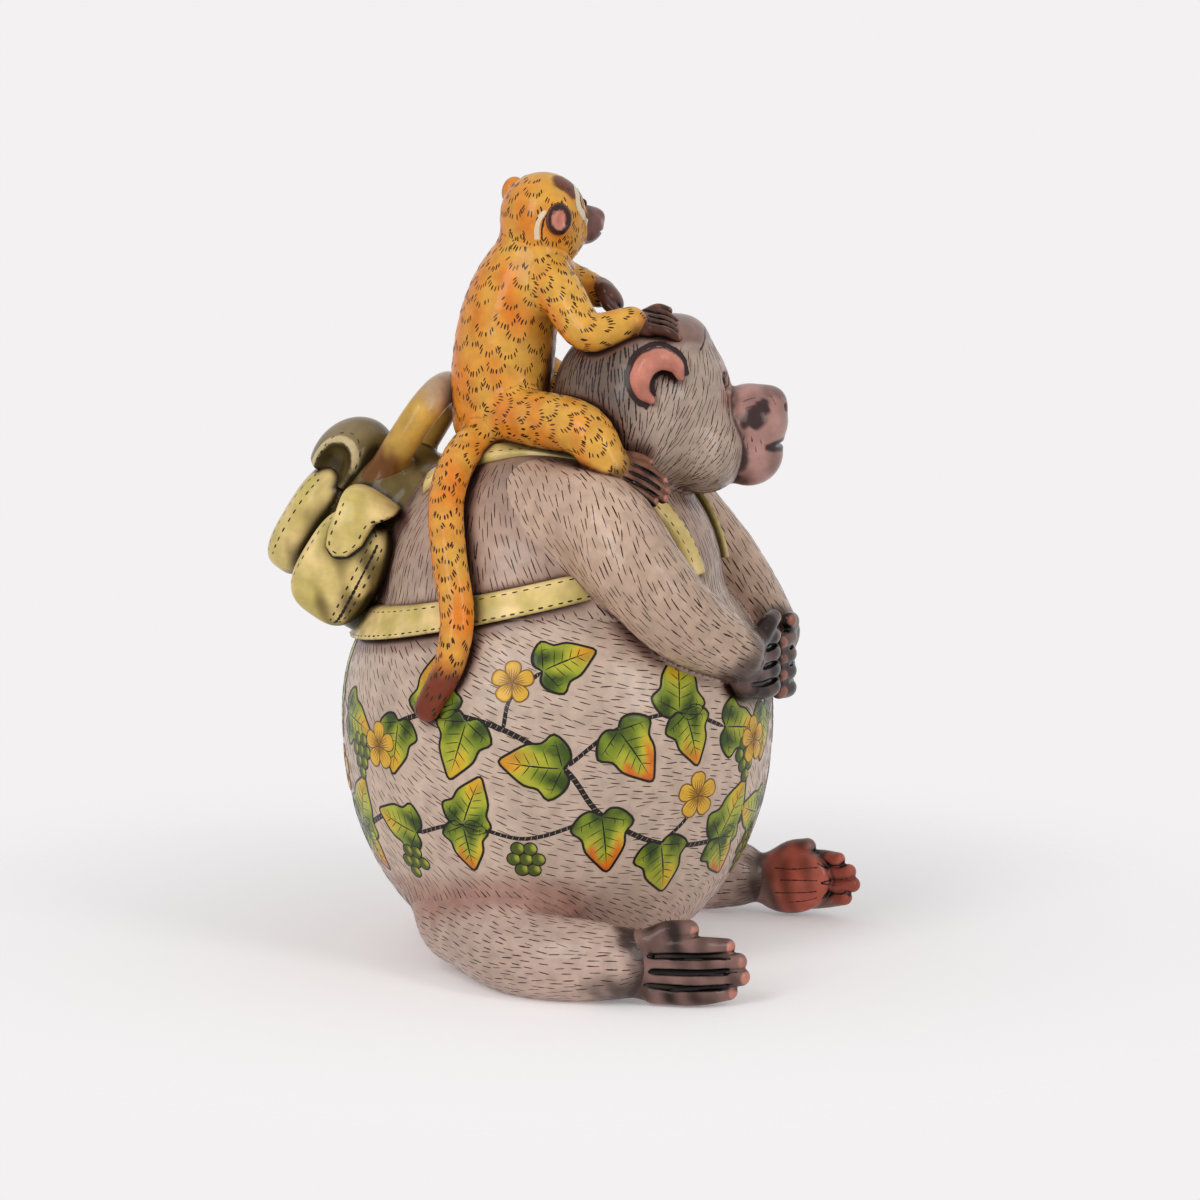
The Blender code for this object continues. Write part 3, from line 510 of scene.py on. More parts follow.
def surface_net(values):
    """Vertices, in grid steps, and quads of the surface between negative and positive values."""
    inside = values < 0
    shape = np.array(values.shape) - 1
    count = np.sum(corner_views(inside, shape), axis=0, dtype=np.int8)
    cells = np.argwhere((count > 0) & (count < 8))
    number = np.full(shape, -1)
    number[tuple(cells.T)] = np.arange(len(cells))
    total = np.zeros((len(cells), 3))
    crossings = np.zeros(len(cells))
    for a, b in EDGES:
        first, second = (values[tuple((cells + CORNERS[end]).T)] for end in (a, b))
        crossed = (first < 0) != (second < 0)
        t = np.where(crossed, first / np.where(crossed, first - second, 1), 0)
        total += crossed[:, None] * (CORNERS[a] + t[:, None] * (CORNERS[b] - CORNERS[a]))
        crossings += crossed
    quads = []
    for axis in range(3):
        step, second, third = np.roll(np.eye(3, dtype=int), -axis, axis=0)
        here = inside[:values.shape[0] - step[0], :values.shape[1] - step[1], :values.shape[2] - step[2]]
        points = np.argwhere(here != inside[step[0]:, step[1]:, step[2]:])
        points = points[np.all((points > 0) | (step > 0), axis=1) & np.all(points < shape, axis=1)]
        ring = [number[tuple((points + shift).T)] for shift in (-second - third, -third, 0 * step, -second)]
        quad = np.column_stack(ring)
        quads.append(np.where(here[tuple(points.T)][:, None], quad, quad[:, ::-1]))
    return cells + total / crossings[:, None], np.vstack(quads)


def mesh_object(name, points, faces, material, normals=None, colours=None):
    """Object from millimetre points and equal-sided faces, shaded smooth."""
    mesh = bpy.data.meshes.new(name)
    sides = faces.shape[1]
    mesh.vertices.add(len(points))
    mesh.vertices.foreach_set("co", (points * MM).astype(np.float32).ravel())
    mesh.loops.add(faces.size)
    mesh.loops.foreach_set("vertex_index", faces.astype(np.int32).ravel())
    mesh.polygons.add(len(faces))
    mesh.polygons.foreach_set("loop_start", np.arange(0, faces.size, sides, dtype=np.int32))
    mesh.update()
    mesh.validate()
    mesh.shade_smooth()
    if colours is not None:
        layer = mesh.color_attributes.new("Paint", "FLOAT_COLOR", "POINT")
        solid = np.column_stack((colours, np.ones(len(colours))))
        layer.data.foreach_set("color", solid.astype(np.float32).ravel())
    if normals is not None:
        mesh.normals_split_custom_set_from_vertices(normals.tolist())
    mesh.materials.append(material)
    obj = bpy.data.objects.new(name, mesh)
    bpy.context.scene.collection.objects.link(obj)
    return obj


# Colours, given as they show on screen

def tint(red, green, blue):
    """Linear colour of an sRGB one."""
    return np.array([((value / 255 + 0.055) / 1.055) ** 2.4 for value in (red, green, blue)])


FUR = {"belly": tint(207, 182, 164), "torso": tint(188, 159, 142), "arm": tint(208, 177, 155),
       "leg": tint(194, 167, 153), "head": tint(186, 164, 149)}
FUR_SHADE, FUR_ROSE, BROW = tint(58, 40, 34), tint(150, 102, 88), tint(138, 109, 100)
SKIN, SKIN_LIGHT, SKIN_DARK = tint(43, 28, 24), tint(132, 100, 92), tint(14, 8, 7)
YOUNG_SKIN, YOUNG_SKIN_LIGHT = tint(78, 44, 34), tint(128, 84, 62)
NAIL, SOLE, SOLE_DARK = tint(202, 132, 114), tint(186, 96, 78), tint(108, 52, 40)
FACE, FACE_DARK, YOUNG_FACE = tint(188, 142, 132), tint(62, 42, 42), tint(122, 84, 78)
EAR_PINK, EAR_DARK = tint(216, 138, 118), tint(58, 34, 32)
COAT, COAT_ORANGE, COAT_SHADE = tint(226, 169, 72), tint(230, 132, 40), tint(96, 50, 26)
TAIL_TIP, FOREHEAD = tint(124, 56, 34), tint(112, 62, 38)
CANVAS, CANVAS_GREEN, CANVAS_OLIVE = tint(246, 216, 148), tint(210, 188, 110), tint(112, 94, 50)
CANVAS_SHADE, CANVAS_GREY, CREAM = tint(48, 38, 20), tint(140, 122, 86), tint(206, 186, 140)
MUSTARD, MUSTARD_BROWN, CREST_MAUVE_AND_HIGHLIGHT = tint(214, 168, 80), tint(112, 68, 26), tint(190, 162, 136)
EYE = tint(22, 15, 12)


def mixed(first, second, share):
    """Colours between two, by a share for each point."""
    share = np.clip(share, 0, 1)[:, None]
    return first * (1 - share) + second * share


WAVES = CHANCE.normal(size=(9, 3))
PHASES = CHANCE.uniform(0, 2 * math.pi, 9)


def mottle(points, size):
    """Soft random blotches of a given size, from -1 to 1."""
    return np.sin(points @ WAVES.T * (2.2 / size) + PHASES).sum(axis=1) / 4


def near_names(name, reach=9.0):
    """Pieces whose boxes come within reach of this one's."""
    low, high = box_of(name)
    names = []
    for other in FORMS:
        other_low, other_high = box_of(other)
        if np.all(other_low < high + reach) and np.all(other_high > low - reach):
            names.append(other)
    return names


# The paints darken by this depth: painted shade in creases and between pieces
def crease(name, points, normals, probes=((1.6, 0.5), (4.5, 0.6))):
    """How deep in a crease each point lies, from 0 to 1; probes are reaches and their weights."""
    forms = [FORMS[other] for other in near_names(name)]
    depth = np.zeros(len(points))
    for reach, weight in probes:
        ahead = points + normals * reach
        gap = np.min([form(ahead) for form in forms], axis=0)
        depth += weight * np.clip(0.92 - gap / reach, 0, 1)
    return np.clip(depth, 0, 1)


def spot_share(spot, centre, inner, outer):
    """1 within the inner radius of a place, fading to 0 at the outer one; the same on both sides."""
    return step_down(length(spot * (1, 0, 1) + np.abs(spot) * (0, 1, 0) - centre), inner, outer)


def side_of(name):
    return RIGHT if name.endswith("right") else LEFT


def stem_of(name):
    return name.removesuffix("_right").removesuffix("_left")


def tip_of(name):
    """The hand or foot of an arm or leg."""
    return name.replace("arm", "hand").replace("leg", "foot")


def layered(colour, *washes):
    """A colour under washes, each given with its share for each point."""
    for wash, share in washes:
        colour = mixed(colour, wash, share)
    return colour


def crown(points):
    """The bare crown behind the brow."""
    x, _, z = local(points, HEAD).T
    return step_up(z + 1.2 * mottle(points, 5), 26, 28.5) * step_up(x + mottle(points, 6), -1, 3)


def fur_paint(name, points, normals):
    stem = stem_of(name)
    washes = [(FUR[stem] * 0.84, 0.5 + 0.6 * mottle(points, 24))]
    blotch = mottle(points, 9)
    if stem == "head":
        x, y, z = local(points, HEAD).T
        face = step_up(x, 21, 26) * step_up(z, 1, 5) * step_down(z, 16, 20)
        # painted shade at the back of the head and on its top under the young monkey
        washes += [(FUR_SHADE, 0.7 * step_up(-x, 0, 20) + 0.4 * step_up(z, 19, 34)), (BROW, crown(points)),
                   (FACE, face * step_down(np.abs(y), 14, 18))]
    if stem == "torso":
        # painted shade on the top of the torso under the head, and beside the backpack
        washes += [(FUR_SHADE, 0.35 * step_up(points[:, 2] + 6 * mottle(points, 14), 172, 196)),
                   (FUR_SHADE, 0.85 * step_down(FORMS["backpack_body"](points) + 2 * blotch, 0.5, 8)),
                   (0.92 * FUR["belly"], step_down(FORMS["belly"](points) + 2 * blotch, -1, 13))]
    if stem == "belly":
        legs = np.minimum(FORMS["leg_right"](points), FORMS["leg_left"](points))
        # painted shade with a rose tint towards the bottom and round the legs
        washes += [(FUR_ROSE, 0.75 * step_down(points[:, 2], 6, 46)),
                   (FUR_ROSE, 0.7 * step_down(legs + 3 * blotch, 3, 16))]
    if stem == "leg":
        # painted shade with a rose tint where the leg meets the belly
        washes += [(FUR_ROSE, 0.7 * step_down(FORMS["belly"](points) + 3 * blotch, 3, 13))]
    if stem in ("arm", "leg"):
        # the fur turns to the skin colour near the hand or foot; on the underside there the same colour is
        # painted shade
        reach = FORMS[tip_of(name)](points) + 2 * mottle(points, 5)
        under = step_up(-normals[:, 2], -0.1, 0.4) * step_down(reach, 4, 16)
        fade = 13 if stem == "arm" else 9
        washes += [(SKIN, np.maximum(0.95 * step_down(reach, 1.5, fade), 0.85 * under))]
    # painted shade in creases and between pieces
    depth = crease(name, points, normals) * (0.5 if stem == "leg" else 1.0)
    washes += [(FUR_ROSE, 1.2 * depth), (FUR_SHADE, 1.7 * depth - 0.3)]
    if stem == "head":
        washes += [(FACE_DARK, step_down(FORMS["muzzle"](points), 0.4, 1.4))]
    return layered(FUR[stem], *washes)


PAWS = {"hand": (FINGERS, HAND), "foot": (TOES, FOOT), "young_hand": (FINGERS, YOUNG_HAND),
        "young_foot": (TOES, YOUNG_FOOT)}
NAIL_STRENGTH = (0.9, 1.0, 0.5, 0.9, 0.75)   # from the thumb or big toe on; hand-painted, so uneven
NAIL_REACH = 2.1


def paw_of(name):
    """Digits, axes and size of a hand or foot."""
    digits, axes = PAWS[stem_of(name)]
    side = side_of(name)
    size = YOUNG_SIZE if name.startswith("young") else FOOT_SIZE[side] if digits is TOES else 1.0
    return digits, axes[side], size


def digit_tips(spot, digits, size):
    """How much of each point is nail, at the outer ends of fingers or toes."""
    share = np.zeros(len(spot))
    for stations, strength in zip(digits, NAIL_STRENGTH):
        tip = (np.array(stations[-1][:3]) + (1.4, -1.4, 0)) * size
        nail = step_down(length(spot - tip), NAIL_REACH * size, 1.25 * NAIL_REACH * size)
        share = np.maximum(share, strength * nail)
    return share


def skin_paint(name, points, normals):
    digits, axes, size = paw_of(name)
    hand = digits is FINGERS
    spot = local(points, axes)
    dark, light = (YOUNG_SKIN, YOUNG_SKIN_LIGHT) if name.startswith("young") else (SKIN, SKIN_LIGHT)
    washes = [(light, (0.05 if hand else 0.68) + 0.6 * mottle(points, 6 * size))]
    if name == "foot_left":
        bare = spot[:, 1] + mottle(points, 5) + 0.25 * np.maximum(spot[:, 0] - 4, 0)
        sole = step_up(bare, 0.0, 3.0) * step_up(spot[:, 0] + 3 * mottle(points, 7), -17, -7)
        washes += [(mixed(SOLE, SOLE_DARK, 0.15 + 0.6 * mottle(points, 6)), sole)]
    # the last wash, SKIN_DARK, is painted shade in the creases
    return layered(dark, *washes, (NAIL, (0.6 if hand else 0.9) * digit_tips(spot, digits, size)),
                   (SKIN_DARK, 2.4 * crease(name, points, normals) - 0.1))


# Painted shade on the face, in the cheek crease and along the hood's edge below it: centre, inner and outer
# radius and strength
FACE_SHADE_SPOTS = (((35.6, 15.2, -0.9), 3.2, 5.4, 1.0), ((38.6, 12.5, 2.8), 2.4, 4.2, 1.0),
           ((32.6, 15.4, -2.2), 1.2, 3.2, 0.8), ((30.2, 14.4, -13), 2.0, 4.4, 0.9),
           ((29.6, 13.6, -18), 2.4, 4.8, 0.95), ((29, 8.5, -25), 3, 7, 0.8))


def face_paint(name, points, normals):
    depth = crease(name, points, normals)
    if name == "young_muzzle":
        pale = spot_share(local(points, YOUNG_HEAD), (21.5, 5, -3.5), 0.8, 2.2)
        # the last wash is painted shade in the creases
        return layered(YOUNG_FACE, (FACE_DARK, 0.6 * step_up(mottle(points, 4), 0.1, 0.8)),
                       (FACE, 0.8 * pale), (FACE_DARK, 1.5 * depth))
    spot = local(points, HEAD)
    wobble = 1.1 * mottle(points, 3)
    lips = ellipsoid((49, 0, -12.3), (12.5, 18, 2.3), HEAD)(points)
    # FACE_DARK as painted shade in the cheek crease, along the hood's edge and in creases; also the dark lips
    # and a darker nose
    shades = [strength * spot_share(spot + wobble[:, None], centre, inner, outer)
              for centre, inner, outer, strength in FACE_SHADE_SPOTS]
    shades += [step_down(lips + 0.4 * wobble, 0.0, 0.9),
               0.5 * step_up(spot[:, 2] + wobble, 4.5, 8) * step_up(spot[:, 0], 36, 40),
               0.8 * step_down(FORMS["head"](points) + wobble, 0.4, 2.2), 1.5 * depth]
    return layered(FACE, (FACE * 0.62, 0.35 + 0.7 * mottle(points, 8)),
                   *[(FACE_DARK, shade) for shade in shades])


def ear_paint(name, points, normals):
    rim = step_down(np.abs(normals @ HEAD[:3, 1]) + 0.1 * mottle(points, 3), 0.28, 0.5)
    root = step_down(FORMS["head"](points), 0.3, 1.1)
    return layered(EAR_PINK, (EAR_PINK * 0.8, 0.5 + mottle(points, 5)), (EAR_DARK, np.maximum(rim, root)))


def eye_paint(name, points, normals):
    return np.tile(EYE, (len(points), 1))


def coat_paint(name, points, normals):
    stem = stem_of(name)
    washes = [(COAT_ORANGE, 0.3 + 0.5 * mottle(points, 9)),
              (COAT_ORANGE, 0.8 * step_up(-normals[:, 0], 0.35, 0.9))]
    if stem == "young_tail":
        washes += [(TAIL_TIP, step_down(points[:, 2] + 3 * mottle(points, 6), 116, 131))]
    if stem in ("young_arm", "young_leg"):
        washes += [(YOUNG_SKIN, 0.8 * step_down(FORMS[tip_of(name)](points) + mottle(points, 4), -0.5, 4))]
    if stem == "young_head":
        spot = local(points, YOUNG_HEAD) + 0.7 * mottle(points, 3)[:, None]
        washes += [(FOREHEAD, spot_share(spot, (4.6, 9.0, 11.2), 5.2, 6.4))]
    if stem == "young_ear":
        centre = (-2.6, -18.4, 0) if side_of(name) == RIGHT else (-5, 18.4, 7)
        hollow = ellipsoid(centre, (2.8, 3.4, 3.4), YOUNG_HEAD)(points)
        outside = step_up((normals @ YOUNG_HEAD[:3, 1]) * side_of(name), -0.1, 0.2)
        return layered(COAT, *washes, (mixed(EAR_PINK, EAR_DARK, step_up(hollow, 0.0, 0.5)), outside))
    # painted shade in the creases
    return layered(COAT, *washes, (COAT_SHADE, 1.5 * crease(name, points, normals) - 0.1))


def canvas_paint(name, points, normals):
    stem = stem_of(name)
    up, out = local(points, PACK)[:, 2], (normals @ PACK[:3, :3])[:, 0]
    depth = crease(name, points, normals, ((1.6, 0.4), (4.5, 0.45), (10, 0.4)))
    base, washes = CANVAS, [(CANVAS_GREEN, 0.45 + 0.7 * mottle(points, 9))]
    if stem == "backpack_body":
        base = CANVAS_GREY
        # olive mottle, and painted shade towards the bottom of the sack
        washes = [(CANVAS_OLIVE, 0.6 + 0.8 * mottle(points, 12)),
                  (CANVAS_SHADE, 0.75 * step_down(up + 3 * mottle(points, 8), 6, 30))]
    if stem in ("rear_pocket", "side_pocket"):
        # painted shade on the faces turned towards the body
        washes += [(CANVAS_OLIVE, 0.95 * step_up(out + 0.3 * mottle(points, 7), 0.0, 0.6)),
                   (CANVAS_SHADE, 0.7 * step_up(out + 0.3 * mottle(points, 6), 0.45, 0.95))]
    if stem == "rear_pocket_lid":
        base = CANVAS_GREY
        mouth = np.min([field(points) for field in LID_MOUTHS], axis=0)
        # painted shade in the hollows at the lid's ends
        inside = mixed(CANVAS_OLIVE * 0.6, CANVAS_SHADE, 0.7 + mottle(points, 5))
        washes = [(CANVAS_OLIVE, 0.55 + 0.8 * mottle(points, 10)), (CREAM, step_down(mouth, 3.2, 3.9)),
                  (inside, step_down(mouth, 0.5, 1.0))]
    if stem in ("lower_strap", "shoulder_strap"):
        depth = 0.5 * depth
    # painted shade in the creases
    return layered(base, *washes, (CANVAS_OLIVE, 1.2 * depth), (CANVAS_SHADE, 2.3 * depth - 0.45))


def handle_paint(name, points, normals):
    up = local(points, PACK)[:, 2]
    # brown at the foot; at the crest mauve, lightened as a painted highlight
    return layered(MUSTARD, (MUSTARD * 0.75, 0.5 + 0.6 * mottle(points, 8)),
                   (MUSTARD_BROWN, step_down(up + 1.8 * mottle(points, 4), 32, 41)),
                   (CREST_MAUVE_AND_HIGHLIGHT, 0.9 * step_up(up + 2 * mottle(points, 6), 56, 63)))


# Materials

# Clear gloss over painted clay
GLOSS = {"Roughness": 0.36, "Specular IOR Level": 0.08, "Coat Weight": 0.38, "Coat Roughness": 0.12,
         "Coat IOR": 1.42}


def set_inputs(node, values):
    for socket, value in values.items():
        node.inputs[socket].default_value = value


def add_node(tree, kind, values=(), feeds=(), **settings):
    """Shader node with its settings and values, fed by other nodes' outputs."""
    node = tree.nodes.new(f"ShaderNode{kind}")
    for setting, value in settings.items():
        setattr(node, setting, value)
    set_inputs(node, dict(values))
    for socket, output in dict(feeds).items():
        tree.links.new(output, node.inputs[socket])
    return node


def new_material(name, values):
    """Material with its shader's values set; also gives the node tree and the shader."""
    material = bpy.data.materials.new(name)
    material.use_nodes = True
    shader = material.node_tree.nodes["Principled BSDF"]
    set_inputs(shader, values)
    return material, material.node_tree, shader


def glaze(name):
    """Painted clay under the gloss: the vertex paint, broken up by washes, with a slightly uneven skin."""
    material, tree, shader = new_material(name, GLOSS)
    place = add_node(tree, "TexCoord").outputs["Object"]
    paint = add_node(tree, "Attribute", attribute_name="Paint")
    wash = add_node(tree, "TexNoise", {"Scale": 210.0, "Detail": 5.0}, {"Vector": place})
    strength = add_node(tree, "MapRange", {"From Min": 0.3, "From Max": 0.7, "To Min": 0.84, "To Max": 1.12},
                        {"Value": wash.outputs["Fac"]})
    washed = add_node(tree, "VectorMath", operation="SCALE",
                      feeds={0: paint.outputs["Color"], "Scale": strength.outputs["Result"]})
    skin = add_node(tree, "TexNoise", {"Scale": 75.0, "Detail": 3.0}, {"Vector": place})
    relief = add_node(tree, "Bump", {"Strength": 0.12, "Distance": 0.004}, {"Height": skin.outputs["Fac"]})
    tree.links.new(washed.outputs["Vector"], shader.inputs["Base Color"])
    tree.links.new(relief.outputs["Normal"], shader.inputs["Normal"])
    return material


def pigment(name, colour):
    """Brushed colour under the same gloss."""
    return new_material(name, {**GLOSS, "Base Color": (*colour, 1.0)})[0]


# What each slot's pieces look like: their paint, voxel size in mm and stems
FINISH = {
    "fur": (fur_paint, 1.1, ("belly", "torso", "head", "arm", "leg")),
    "skin": (skin_paint, 0.62, ("hand", "foot")), "face": (face_paint, 0.6, ("muzzle",)),
    "ear": (ear_paint, 0.5, ("ear",)), "eye": (eye_paint, 0.4, ("eye", "young_eye")),
    "coat": (coat_paint, 0.8, ("young_torso", "young_head", "young_arm", "young_leg", "young_tail",
                               "young_ear")),
    "young_skin": (skin_paint, 0.45, ("young_hand", "young_foot")),
    "young_face": (face_paint, 0.45, ("young_muzzle",)),
    "canvas": (canvas_paint, 0.8, ("backpack_body", "rear_pocket", "rear_pocket_lid", "side_pocket",
                                   "side_flap")),
    "strap": (canvas_paint, 0.8, ("lower_strap", "shoulder_strap")),
    "handle": (handle_paint, 0.8, ("carry_handle",)),
}
RECORD_SLOT = {"young_face": "young_skin"}
GLAZES = {slot: glaze(f"{slot}_glaze") for slot in FINISH}
CLAY = {}


def sculpt(name):
    """Meshes one piece, paints it, hides its CAD node and hangs the clay on the root."""
    slot, (paint, step, _) = next(item for item in FINISH.items() if stem_of(name) in item[1][2])
    step = step * COARSE
    low, high = box_of(name)
    field = shaped(name)
    margin = 5.0 + 2 * step
    low, high = low - margin, high + margin
    net, quads = surface_net(sampled(field, low, high, step))
    points, normals = on_surface(field, low + net * step)
    obj = mesh_object(f"{name}_clay", points, quads, GLAZES[slot], colours=paint(name, points, normals))
    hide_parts(name)
    RECORD_SLOT.get(slot, slot)
    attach(obj, "root")
    CLAY[name] = (field, points, normals)


for piece in FORMS:
    sculpt(piece)

# Brush marks: thin slivers of colour laid on the clay

MARKS = {}


def ribbons(ink, paths, normals, half_widths, base=0.0, lift=0.08):
    """Lays closed slivers along paths, given as strokes by stations; the half widths are zero at the ends."""
    strokes, stations = paths.shape[:2]
    if not strokes:
        return
    forward = np.gradient(paths, axis=1)
    forward /= np.maximum(np.linalg.norm(forward, axis=2, keepdims=True), 1e-9)
    across = np.cross(normals, forward) * half_widths[:, :, None]
    low = paths + normals * (base - 0.03)
    middle = np.stack((low + across, paths + normals * (base + lift), low - across), axis=2)[:, 1:-1]
    points = np.concatenate((low[:, :1], middle.reshape(strokes, -1, 3), low[:, -1:]), axis=1)
    looks = np.concatenate((normals[:, :1], normals[:, 1:-1].repeat(3, axis=1), normals[:, -1:]), axis=1)
    last = 3 * (stations - 2) + 1
    faces = [(0, 2, 1), (0, 3, 2), (0, 1, 3), (last - 2, last, last - 3), (last - 1, last, last - 2),
             (last - 3, last, last - 1)]
    for left in range(1, last - 3, 3):
        middle_line, right = left + 1, left + 2
        faces += [(middle_line, middle_line + 3, left + 3), (middle_line, left + 3, left),
                  (right, right + 3, middle_line + 3), (right, middle_line + 3, middle_line),
                  (left, left + 3, right + 3), (left, right + 3, right)]
    faces = np.array(faces)[None] + np.arange(strokes)[:, None, None] * points.shape[1]
    MARKS.setdefault(ink, []).append((points.reshape(-1, 3), faces.reshape(-1, 3), looks.reshape(-1, 3)))


def tangent(vectors, normals):
    """Directions laid flat on the surface."""
    return unit(vectors - normals * (vectors * normals).sum(axis=1)[:, None])


BRUSH = np.array((0, 0.9, 1, 0.85, 0))


def brush(ink, field, starts, flow, lengths, widths, base=0.0):
    """Strokes that follow the flow over the clay."""
    if not len(starts):
        return
    path, looks = [], []
    points, normals = on_surface(field, starts, 1)
    for _ in BRUSH:
        path.append(points)
        looks.append(normals)
        points = points + tangent(flow(points, normals), normals) * (lengths / (len(BRUSH) - 1))[:, None]
        points, normals = on_surface(field, points, 1)
    ribbons(ink, np.stack(path, 1), np.stack(looks, 1), 0.5 * widths[:, None] * BRUSH, base)


def scatter(points, flows, along, across):
    """Numbers of points that keep their distance: along the flow and, closer, across it."""
    reach = float(along.max())
    cells = np.floor(points / reach).astype(int).tolist()
    spots, ways = points.tolist(), flows.tolist()
    lengths, gaps = (1 / along ** 2).tolist(), (1 / across ** 2).tolist()
    around = list(itertools.product((-1, 0, 1), repeat=3))
    grid, chosen = {}, []
    for index in range(len(spots)):
        (x, y, z), (a, b, c), (i, j, k) = spots[index], ways[index], cells[index]
        far, near = lengths[index], gaps[index]
        clear = True
        for di, dj, dk in around:
            for px, py, pz in grid.get((i + di, j + dj, k + dk), ()):
                dx, dy, dz = px - x, py - y, pz - z
                run = dx * a + dy * b + dz * c
                if run * run * far + (dx * dx + dy * dy + dz * dz - run * run) * near < 1:
                    clear = False
                    break
            if not clear:
                break
        if clear:
            chosen.append(index)
            grid.setdefault((i, j, k), []).append(spots[index])
    return np.array(chosen, int)


def bare_ground(name, points, margin=0.5):
    """Which points no other piece covers."""
    others = [FORMS[other] for other in near_names(name, 2) if other != name]
    return np.min([form(points) for form in others], axis=0) > margin


def path_way(stations):
    """Flow along a limb's path."""
    path = smooth_path(np.array(stations)[:, :3], 5)
    middles, runs = (path[1:] + path[:-1]) / 2, path[1:] - path[:-1]

    def flow(points, normals):
        nearest = np.argmin(((points[:, None] - middles[None]) ** 2).sum(axis=2), axis=1)
        return runs[nearest]
    return flow


UP = np.array((0.0, 0.0, 1.0))


def belly_flow(points, normals):
    """Forward round the pot and down: steep at the back, nearly level in front."""
    side = np.where(points[:, 1] < 0, 1.0, -1.0)
    level = unit(np.cross(UP, normals) * side[:, None] + 1e-6)
    slope = np.interp(points[:, 0], (-75, -45, 0, 45, 80), (66, 44, 19, 9, 14))
    slope = slope + (70 - slope) * (1 - step_up(np.abs(points[:, 1]), 6, 26))
    slope = np.radians(slope + 30 * (1 - step_up(points[:, 2], 22, 48)) + 8 * mottle(points, 40))
    return level * np.cos(slope)[:, None] + tangent(-UP + 0 * points, normals) * np.sin(slope)[:, None]


def torso_flow(points, normals):
    ahead = np.interp(points[:, 0], (-60, -25, 30), (-0.35, 0.1, 0.75))
    return np.column_stack((ahead, 0 * ahead, -1 + 0 * ahead))


def head_flow(points, normals):
    """Down and back over the cheek, straight down behind the ear, forward from the brow."""
    spot = local(points, HEAD)
    back = np.interp(spot[:, 0] - 0.5 * spot[:, 2], (-18, 0, 30), (0.15, -0.35, -0.95))
    ways = np.column_stack((back, 0 * back, -1 + 0 * back))
    return ways @ HEAD[:3, :3].T


def arm_flow(side):
    along = path_way(ARM[side])

    def flow(points, normals):
        fall = 1.3 * step_up(points[:, 2], 140, 172)
        return unit(along(points, normals)) - fall[:, None] * UP
    return flow


FLOWS = {"belly": belly_flow, "torso": torso_flow, "head": head_flow, "arm_right": arm_flow(RIGHT),
         "arm_left": arm_flow(LEFT), "leg_right": path_way(LEG[RIGHT]), "leg_left": path_way(LEG[LEFT])}
# Stroke length, width and the distance between strokes beside each other
STROKES = {"belly": (6.4, 0.56, 1.75), "torso": (9.0, 0.66, 1.5), "head": (9.4, 0.5, 1.12),
           "arm": (8.6, 0.62, 1.7), "leg": (6.2, 0.56, 1.7)}
COPIES = 2             # places tried for each vertex
WIDE_FILLET = 12                            # strokes keep off fillets as wide as this


def open_ground(name, margin):
    """Shuffled places on a piece that no other piece covers, with their normals."""
    field, points, _ = CLAY[name]
    places = CHANCE.permutation(points.repeat(COPIES, axis=0))
    places = places + CHANCE.normal(0, 0.7, places.shape)
    places, normals = on_surface(field, places, 1)
    seen = bare_ground(name, places, margin) & (places[:, 2] > 1.0)
    return places[seen], normals[seen]


def turned(flow, jitter):
    """The flow, with each stroke turned a little by its own amount."""
    def bent(points, normals):
        way = tangent(flow(points, normals), normals)
        return way * np.cos(jitter)[:, None] + np.cross(normals, way) * np.sin(jitter)[:, None]
    return bent


def paint_fur(name):
    """Covers a piece with rows of short strokes; they are darker and closer in the creases, as painted shade.
    """
    field = CLAY[name][0]
    size, width, gap = STROKES[stem_of(name)]
    points, normals = open_ground(name, 1.0)
    if name == "belly":
        clear = clear_of_vine(points)
        points, normals = points[clear], normals[clear]
    if name == "head":
        hairy = crown(points) < 0.5
        points, normals = points[hairy], normals[hairy]
    for form, reach in neighbours(name):
        if reach >= WIDE_FILLET:
            smooth = form(points) > 0.35 * reach
            points, normals = points[smooth], normals[smooth]
    depth = 0.6 * crease(name, points, normals)
    flow = FLOWS[name]
    along = size * (0.92 - 0.2 * depth)
    chosen = scatter(points, tangent(flow(points, normals), normals), along, gap * (1 - 0.2 * depth))
    points, normals, depth = points[chosen], normals[chosen], depth[chosen]
    lengths = size * CHANCE.uniform(0.75, 1.15, len(points))
    widths = width * CHANCE.uniform(0.7, 1.2, len(points)) * (1 + 0.9 * depth)
    # painted shade: strokes are darker in the creases, and wider and darker at the back of the head
    if name == "head":
        widths *= 1 + 0.7 * step_up(-local(points, HEAD)[:, 0], 2, 16)
    jitter = CHANCE.normal(0, 0.09, len(points))
    tone = CHANCE.uniform(0, 1, len(points)) + 0.8 * depth
    if name == "head":
        tone += 0.1 + 0.9 * step_up(-local(points, HEAD)[:, 0], 2, 16)
    for ink, low, high in (("fur_ink_soft", -1, 0.25), ("fur_ink", 0.25, 0.7), ("fur_ink_dark", 0.7, 9)):
        pick = (tone >= low) & (tone < high)
        brush(ink, field, points[pick], turned(flow, jitter[pick]), lengths[pick], widths[pick])


